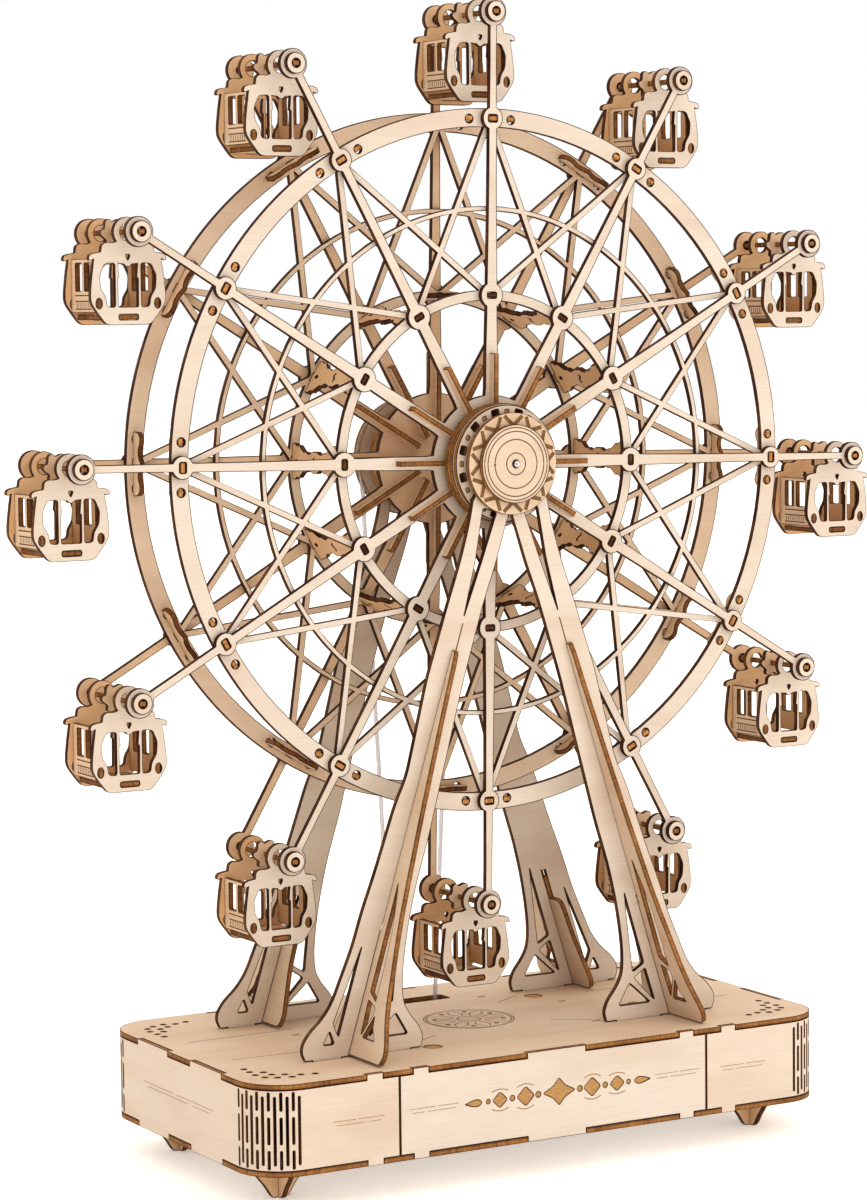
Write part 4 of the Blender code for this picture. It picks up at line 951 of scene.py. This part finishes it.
half_ray = [turned([(radius, 0)], angle)[0] for radius, angle in ((15.8, -12.3), (12.7, -1.7))]
ray = half_ray + flipped(half_ray)
rays = [stroke(turned(ray, SECTOR * k), 1.25) for k in range(SPOKES)]
boards = new_boards()
cut_sheet(
    boards, on_wheel, circle(SUNBURST_RADIUS, 96), -SUNBURST_PLACE - SHEET, -SUNBURST_PLACE,
    [circle(PIN_HOLE)], rays, rim=0.16, burn=0.5, tone_and_shade=0.4,
)
piece("sunburst_sheet", boards, "wheel", ["front_sunburst_disc"])
circles = []
for radius in (11.75, 10.5, 7.9, 3.55):
    circles += [stroke(arc((0, 0), radius, start, start + 178.5, 40), 0.22) for start in (0, 180)]
boards = new_boards()
cut_sheet(
    boards, on_wheel, circle(CAP_RADIUS, 84), -CAP_PLACE - SHEET, -CAP_PLACE,
    [circle(TIP_RADIUS + 0.15, 20)], circles, burn=0.5, tone_and_shade=0.25,
)
piece("cap_sheet", boards, "wheel", ["front_hub_cap"])
shaft_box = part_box("wheel_shaft")
shaft_front, shaft_length = shaft_box[0].y, (shaft_box[1].y - shaft_box[0].y) / MM
turning = [
    (0, 0.3), (0.3, 0.1), (0.45, 0), (0.85, 0), (1.08, 0.2), (TIP_RADIUS, 0.45), (TIP_RADIUS, 4.4),
    (PIN_RADIUS, 4.45), (PIN_RADIUS, shaft_length - 0.3), (1.2, shaft_length), (0, shaft_length),
]
pin = bmesh.new()
profile = [pin.verts.new((radius * MM, shaft_front + along * MM, AXLE * MM)) for radius, along in turning]
spun = profile + [pin.edges.new(pair) for pair in zip(profile, profile[1:])]
bmesh.ops.spin(
    pin, geom=spun, cent=(0, 0, AXLE * MM), axis=(0, 1, 0), angle=2 * pi, steps=32,
    use_merge=True, use_duplicate=False,
)
bmesh.ops.remove_doubles(pin, verts=pin.verts[:], dist=0.000001)
piece("axle_pin", pin, "wheel", ["wheel_shaft"], finishes=[STEEL])


# PULLEYS AND BELT
# Behind the rear frame a pulley of three glued discs turns with the wheel. A thin clear band runs down from
# it, through the slot in the deck, to a small pulley of the same kind on the music cylinder's arbor.
PULLEY_PLACE = 34.4
ARBOR_HEIGHT = 25.9


def stacked_pulley(name, height, body, node, flange, groove, bore, spacer, holes):
    """Two flanges with a smaller disc between them, on a spacer of two rings where one is given."""

    def placed(u, v, w):
        return upright(u, v + height, w)

    boards = new_boards()
    bored = circle(bore, 20)
    for low, high, radius in ((0, 0.9, flange), (0.9, 3.1, groove), (3.1, 4, flange)):
        disc = circle(radius, 84)
        cut_sheet(boards, placed, disc, PULLEY_PLACE + high, PULLEY_PLACE + low, [bored, *holes], rim=0.2)
    if spacer:
        disc = circle(spacer, 48)
        for low in (FRAME_FACE + FIT, FRAME_FACE + FIT + 1.5):
            cut_sheet(boards, placed, disc, low + 1.5, low, [bored], rim=0.2)
    piece(name, boards, body, [node])


lightening = [turned(circle(3.1, 24, (11.6, 0)), 60 * k) for k in range(6)]
stacked_pulley("driven_pulley_discs", AXLE, "wheel", "driven_pulley", 19.8, 17.15, PIN_HOLE, 6, lightening)
stacked_pulley("output_pulley_discs", ARBOR_HEIGHT, "cylinder", "output_pulley", 9, 6.55, 1.5, 0, [])


def clear_band():
    """Thin clear elastic: glassy with a lilac cast, faintly milky along its length."""
    finish = new_finish("clear_band", {"Roughness": 0.22, "Transmission Weight": 0.55, "IOR": 1.45})
    place = wired(finish, "TexCoord", {})["Object"]
    milk = streaks(finish, place, (500, 500, 60), detail=3)
    feed(finish, graded(finish, milk, (0.35, (0.8, 0.76, 0.88)), (0.65, (0.94, 0.93, 0.97))), "Base Color")
    emboss(finish, milk, 0.2, 0.00005)
    return finish


refinish("drive_belt", clear_band())


# CABINS
# Each cabin is two matching face plates, two side panels and a floor, joined by tabs that show as brown ovals
# and bars. It hangs on a plywood cross-bar between the spokes' ends, with a star spacer and two washers.
CABIN_PLATE = 8.9
washer_low = STAR_PLACE + SHEET + FIT


def hung_from(pivot_x, pivot_z, kind):
    """A cabin's drawings are made about its pivot: its faces, its side panels, and its level pieces."""
    origin = Vector((pivot_x, 0, pivot_z))

    def placed(u, v, w):
        local = {"face": (u, w, v), "side": (w, u, v), "level": (u, v, w)}[kind]
        return (Vector(local) + origin) * MM

    return placed


ear = arc((0, 0), 4.7, -38, 218, 30)
shoulder = softened([(3.7, -2.86), (5.2, -3.3), (7.4, -3.1), (8.8, -3.9), (9.1, -6.1)], 0.8, closed=False)
eave = [(9.1, -6.1), (11.4, -6.4), (12.9, -6.9), (13.35, -8.3), (12.7, -8.8), (11.4, -8.2)]
eave = softened(eave, 0.6, closed=False)
body_side = [(11.4, -8.2), (12.1, -12.4), (12.8, -18.4), (12.75, -21.6), (10.9, -24.4), (7.6, -28.6)]
body_side.append((0, -28.6))
body_side = softened(body_side, 1.6, 4, closed=False)
right_side = (shoulder + eave[1:] + body_side[1:])[::-1]
face_outline = right_side + ear[1:-1] + mirrored(right_side)[:-1]
window = [(4.4, -9.5), (7.9, -9.7), (9.6, -13.4), (9.3, -17.4), (7.6, -20), (7.2, -22.9), (4.4, -23.2)]
window = softened(window, 0.9)
lobe = arc((0, -9.3), 1.35, 205, 335, 8)
door_foot = softened([(3.5, -14), (3.4, -23.1), (-3.4, -23.1), (-3.5, -14)], 0.5, 2)
door = [(-3.4, -9.6), *lobe, (3.4, -9.6), *door_foot]
heart = [(0.62, -7.7), (0.72, -7.1), (0.38, -6.75)]
heart = [(0, -8.75), *heart, (0, -7.1), *mirrored(heart)]
oval = [(9.95 + 1.1 * cos(radians(a)), -21.95 + 1.65 * sin(radians(a))) for a in range(0, 360, 18)]
bar_end = softened(corners_of(-3.35, -27.1, 3.35, -25.3), 0.6, 2)
face_holes = [window, mirrored(window), door, softened(heart, 0.2, 2), circle(2.6, 20)]
face_holes += [oval, mirrored(oval), bar_end]
panel_end = [(8.8, -24.6), (8.8, -23.5), (10.4, -23.5), (10.4, -20.4), (8.8, -20.4), (8.8, -8.2)]
side_outline = panel_end + mirrored(panel_end)
floor_end = [(8.6, 8.8), (3.1, 8.8), (3.1, 10.4), (-3.1, 10.4), (-3.1, 8.8), (-8.6, 8.8)]
floor_outline = floor_end + [(-u, -v) for u, v in floor_end]
side_windows = [softened(corners_of(a, -18.1, b, -9.3), 0.6, 2) for a, b in ((-5.9, -0.7), (0.7, 5.9))]
railing = [stroke([(-6, v), (6, v)], 0.3) for v in (-19.4, -21.2, -23.6)]
railing += [stroke([(u * 1.25, -23.2), (u * 1.25, -21.6)], 0.26) for u in range(-4, 5)]
spacer = []
for k in range(6):
    spacer += turned([(3.3, -1), (4.5, -0.9), (4.85, 0), (4.5, 0.9)], 60 * k)
# painted shade: the rear face plate and the right side panel, which face away from the light, are drawn
# deeper than their twins
cabin_wood = (
    ("face", face_outline, -CABIN_PLATE - SHEET, -CABIN_PLATE, face_holes, (), 0.9, 0.05),
    ("face", face_outline, CABIN_PLATE + SHEET, CABIN_PLATE, face_holes, (), 0.9, 0.8),
    ("side", side_outline, -CABIN_PLATE - SHEET, -CABIN_PLATE, side_windows, railing, 0.6, 0.5),
    ("side", side_outline, CABIN_PLATE + SHEET, CABIN_PLATE, side_windows, railing, 0.6, 0.9),
    ("level", floor_outline, -25.4, -27, (), (), 0.6, 0.7),
    ("face", softened(spacer, 0.7, 2), -0.8, 0.8, (), (), 0.9, 0.5),
    ("level", corners_of(-0.95, -21, 0.95, 21), 0.8, -0.8, (), (), 0.4, 0.7),
)
washer, washer_hole = circle(3.35, 30), circle(1.45, 14)
for k in range(SPOKES):
    pivot_x, pivot_z = turned([(PIVOT_RADIUS, 0)], SECTOR * k + PHASE)[0]
    cabin = f"cabin_{k + 1:02d}"
    boards = new_boards()
    for kind, outline, face, back, holes, lines, char, tone_and_shade in cabin_wood:
        placed = hung_from(pivot_x, pivot_z + AXLE, kind)
        cut_sheet(boards, placed, outline, face, back, holes, lines, rim=0.25, char=char, burn=0.6, tone_and_shade=tone_and_shade)
    for facing in (-1, 1):
        low = facing * washer_low
        placed = hung_from(pivot_x, pivot_z + AXLE, "face")
        cut_sheet(boards, placed, washer, low + facing * SHEET, low, [washer_hole], char=0.9)
    piece(f"{cabin}_boards", boards, f"hanging_{cabin}", [cabin])


# MUSIC MOVEMENT
# Inside the box sit a stamped brass bedplate with the spring housing, the pinned cylinder, the steel comb and
# the governor. The winding key hangs under the floor: a steel wing with two round lobes on a short stem.
BRASS = metal("stamped_brass", (0.8, 0.58, 0.26), (0.62, 0.42, 0.17), 0.3, (1500, 1500, 1500))
COMB_STEEL = metal("comb_steel", (0.55, 0.55, 0.58), (0.36, 0.36, 0.39), 0.32, (120, 3000, 120))
for node in ("movement_bedplate", "movement_spring_housing", "movement_cylinder", "movement_governor"):
    refinish(node, BRASS)
refinish("movement_comb", COMB_STEEL)
NOTES = 18
BEATS = 9
COMB_PITCH = 20 / NOTES
PIN_TUNE = {"radius1": 0.2 * MM, "radius2": 0.12 * MM, "depth": 0.6 * MM}
pins = bmesh.new()
for row in range(NOTES):
    for beat in range(BEATS):
        turn = radians((row * 137 + beat * 41 + (row * beat) % 7 * 11) % 360)
        pin = bmesh.ops.create_cone(pins, cap_ends=True, segments=5, **PIN_TUNE)
        around = Matrix.Rotation(turn, 4, "Y") @ Matrix.Translation((0, 0, 6.7 * MM))
        place = Matrix.Translation((0, (5.55 + row * COMB_PITCH) * MM, ARBOR_HEIGHT * MM)) @ around
        bmesh.ops.transform(pins, matrix=place, verts=pin["verts"])
piece("cylinder_pins", pins, "cylinder", finishes=[BRASS])
WING_THICKNESS = 1.2
STEM_RADIUS, STEM_LENGTH = 1.5, 9.4
wing = bmesh.new()
lobes = [(0, -9.8), (4.2, -9), (7.2, -9.6), (8, -6), (7, -2.4), (4.4, -1.6), (1.9, -2.4), (0, -1.3)]
lobes = softened(lobes, 2.4, 5, closed=False)
outline = [(KEY_PLACE[0] + u, v + FOOT_HEIGHT) for u, v in lobes + mirrored(lobes)[1:-1]]
wing_back = KEY_PLACE[1] - WING_THICKNESS / 2
corners = [wing.verts.new((u * MM, wing_back * MM, v * MM)) for u, v in outline]
blade = bmesh.ops.extrude_face_region(wing, geom=[wing.faces.new(corners)])
raised = [item for item in blade["geom"] if isinstance(item, bmesh.types.BMVert)]
bmesh.ops.translate(wing, verts=raised, vec=(0, WING_THICKNESS * MM, 0))
rims = [edge for edge in wing.edges if abs(edge.verts[0].co.y - edge.verts[1].co.y) < 0.00001]
bmesh.ops.bevel(wing, geom=rims, offset=0.3 * MM, affect="EDGES", segments=2, profile=0.5, material=-1)
stem_size = {"radius1": STEM_RADIUS * MM, "radius2": STEM_RADIUS * MM, "depth": STEM_LENGTH * MM}
stem = bmesh.ops.create_cone(wing, cap_ends=True, segments=24, **stem_size)
stem_place = Matrix.Translation(level(*KEY_PLACE, FOOT_HEIGHT - 1))
bmesh.ops.transform(wing, matrix=stem_place, verts=stem["verts"])
piece("wing_key", wing, "key", ["winding_key"], finishes=[STEEL])


# FLOOR, LIGHT AND CAMERA
# A plain pale floor under a bright sky that gives most of the light, and two broad faint lights in front. The
# camera stands where the photograph was taken: left of the front, a little above the deck.
FLOOR_REACH = 6
SOFTBOX_SIZE = 0.9
LIGHT_AIM = Vector((0, 0, 0.2))
CAMERA_PLACE = Vector((-0.5857, -1.0036, 0.2831))
floor = bmesh.new()
bmesh.ops.create_grid(floor, x_segments=1, y_segments=1, size=FLOOR_REACH)
data = bpy.data.meshes.new("studio_floor")
floor.to_mesh(data)
floor.free()
ground = shown("studio_floor", data)
glow = {"Emission Color": (1, 1, 1, 1), "Emission Strength": 0.32}
paper = new_finish("pale_paper", {"Roughness": 0.9, **glow})
place = wired(paper, "TexCoord", {})["Object"]
mottle = streaks(paper, place, (3, 3, 3))
feed(paper, graded(paper, mottle, (0.3, (0.86, 0.855, 0.85)), (0.7, (0.89, 0.885, 0.88))), "Base Color")
data.materials.append(paper)

bpy.context.scene.view_settings.view_transform = "Standard"
bpy.context.scene.view_settings.gamma = 0.76
world = bpy.data.worlds.new("white_studio")
bpy.context.scene.world = world
world.use_nodes = True
way = wired(world, "TexCoord", {})["Generated"]
split = wired(world, "SeparateXYZ", {"Vector": way})
around = graded(
    world, split["Y"], (0, (0.51, 0.475, 0.43)), (0.35, (0.7, 0.65, 0.59)), (0.66, (1, 1, 1))
)
above = graded(world, split["Z"], (0.25, (0,)), (0.75, (1,)))
sky = wired(world, "MixRGB", {"Fac": above, "Color1": around, "Color2": (1.44, 1.33, 1.19, 1)})[0]
world.node_tree.links.new(sky, world.node_tree.nodes["Background"].inputs["Color"])


def softbox(name, place, power):
    lamp = bpy.data.lights.new(name, "AREA")
    lamp.shape = "DISK"
    lamp.size = SOFTBOX_SIZE
    lamp.energy = power
    lamp.color = (1, 0.99, 0.97)
    thing = shown(name, lamp)
    thing.location = place
    thing.rotation_euler = (LIGHT_AIM - Vector(place)).to_track_quat("-Z", "Y").to_euler()


softbox("key_softbox", (-0.4, -1.6, 0.45), 2.6)
softbox("fill_softbox", (0.9, -1.2, 0.5), 3)

yaw, pitch, roll = radians(29.785), radians(4.996), radians(0.643)
forward = Vector((sin(yaw) * cos(pitch), cos(yaw) * cos(pitch), -sin(pitch)))
level_right = Vector((cos(yaw), -sin(yaw), 0))
level_up = level_right.cross(forward)
right = level_right * cos(roll) - level_up * sin(roll)
up = level_right * sin(roll) + level_up * cos(roll)
lens = bpy.data.cameras.new("photo_camera")
lens.lens = 105.3
lens.sensor_width = 36
lens.clip_start = 0.01
camera = shown("photo_camera", lens)
camera.matrix_world = Matrix.Translation(CAMERA_PLACE) @ Matrix((right, up, -forward)).transposed().to_4x4()
bpy.context.scene.camera = camera
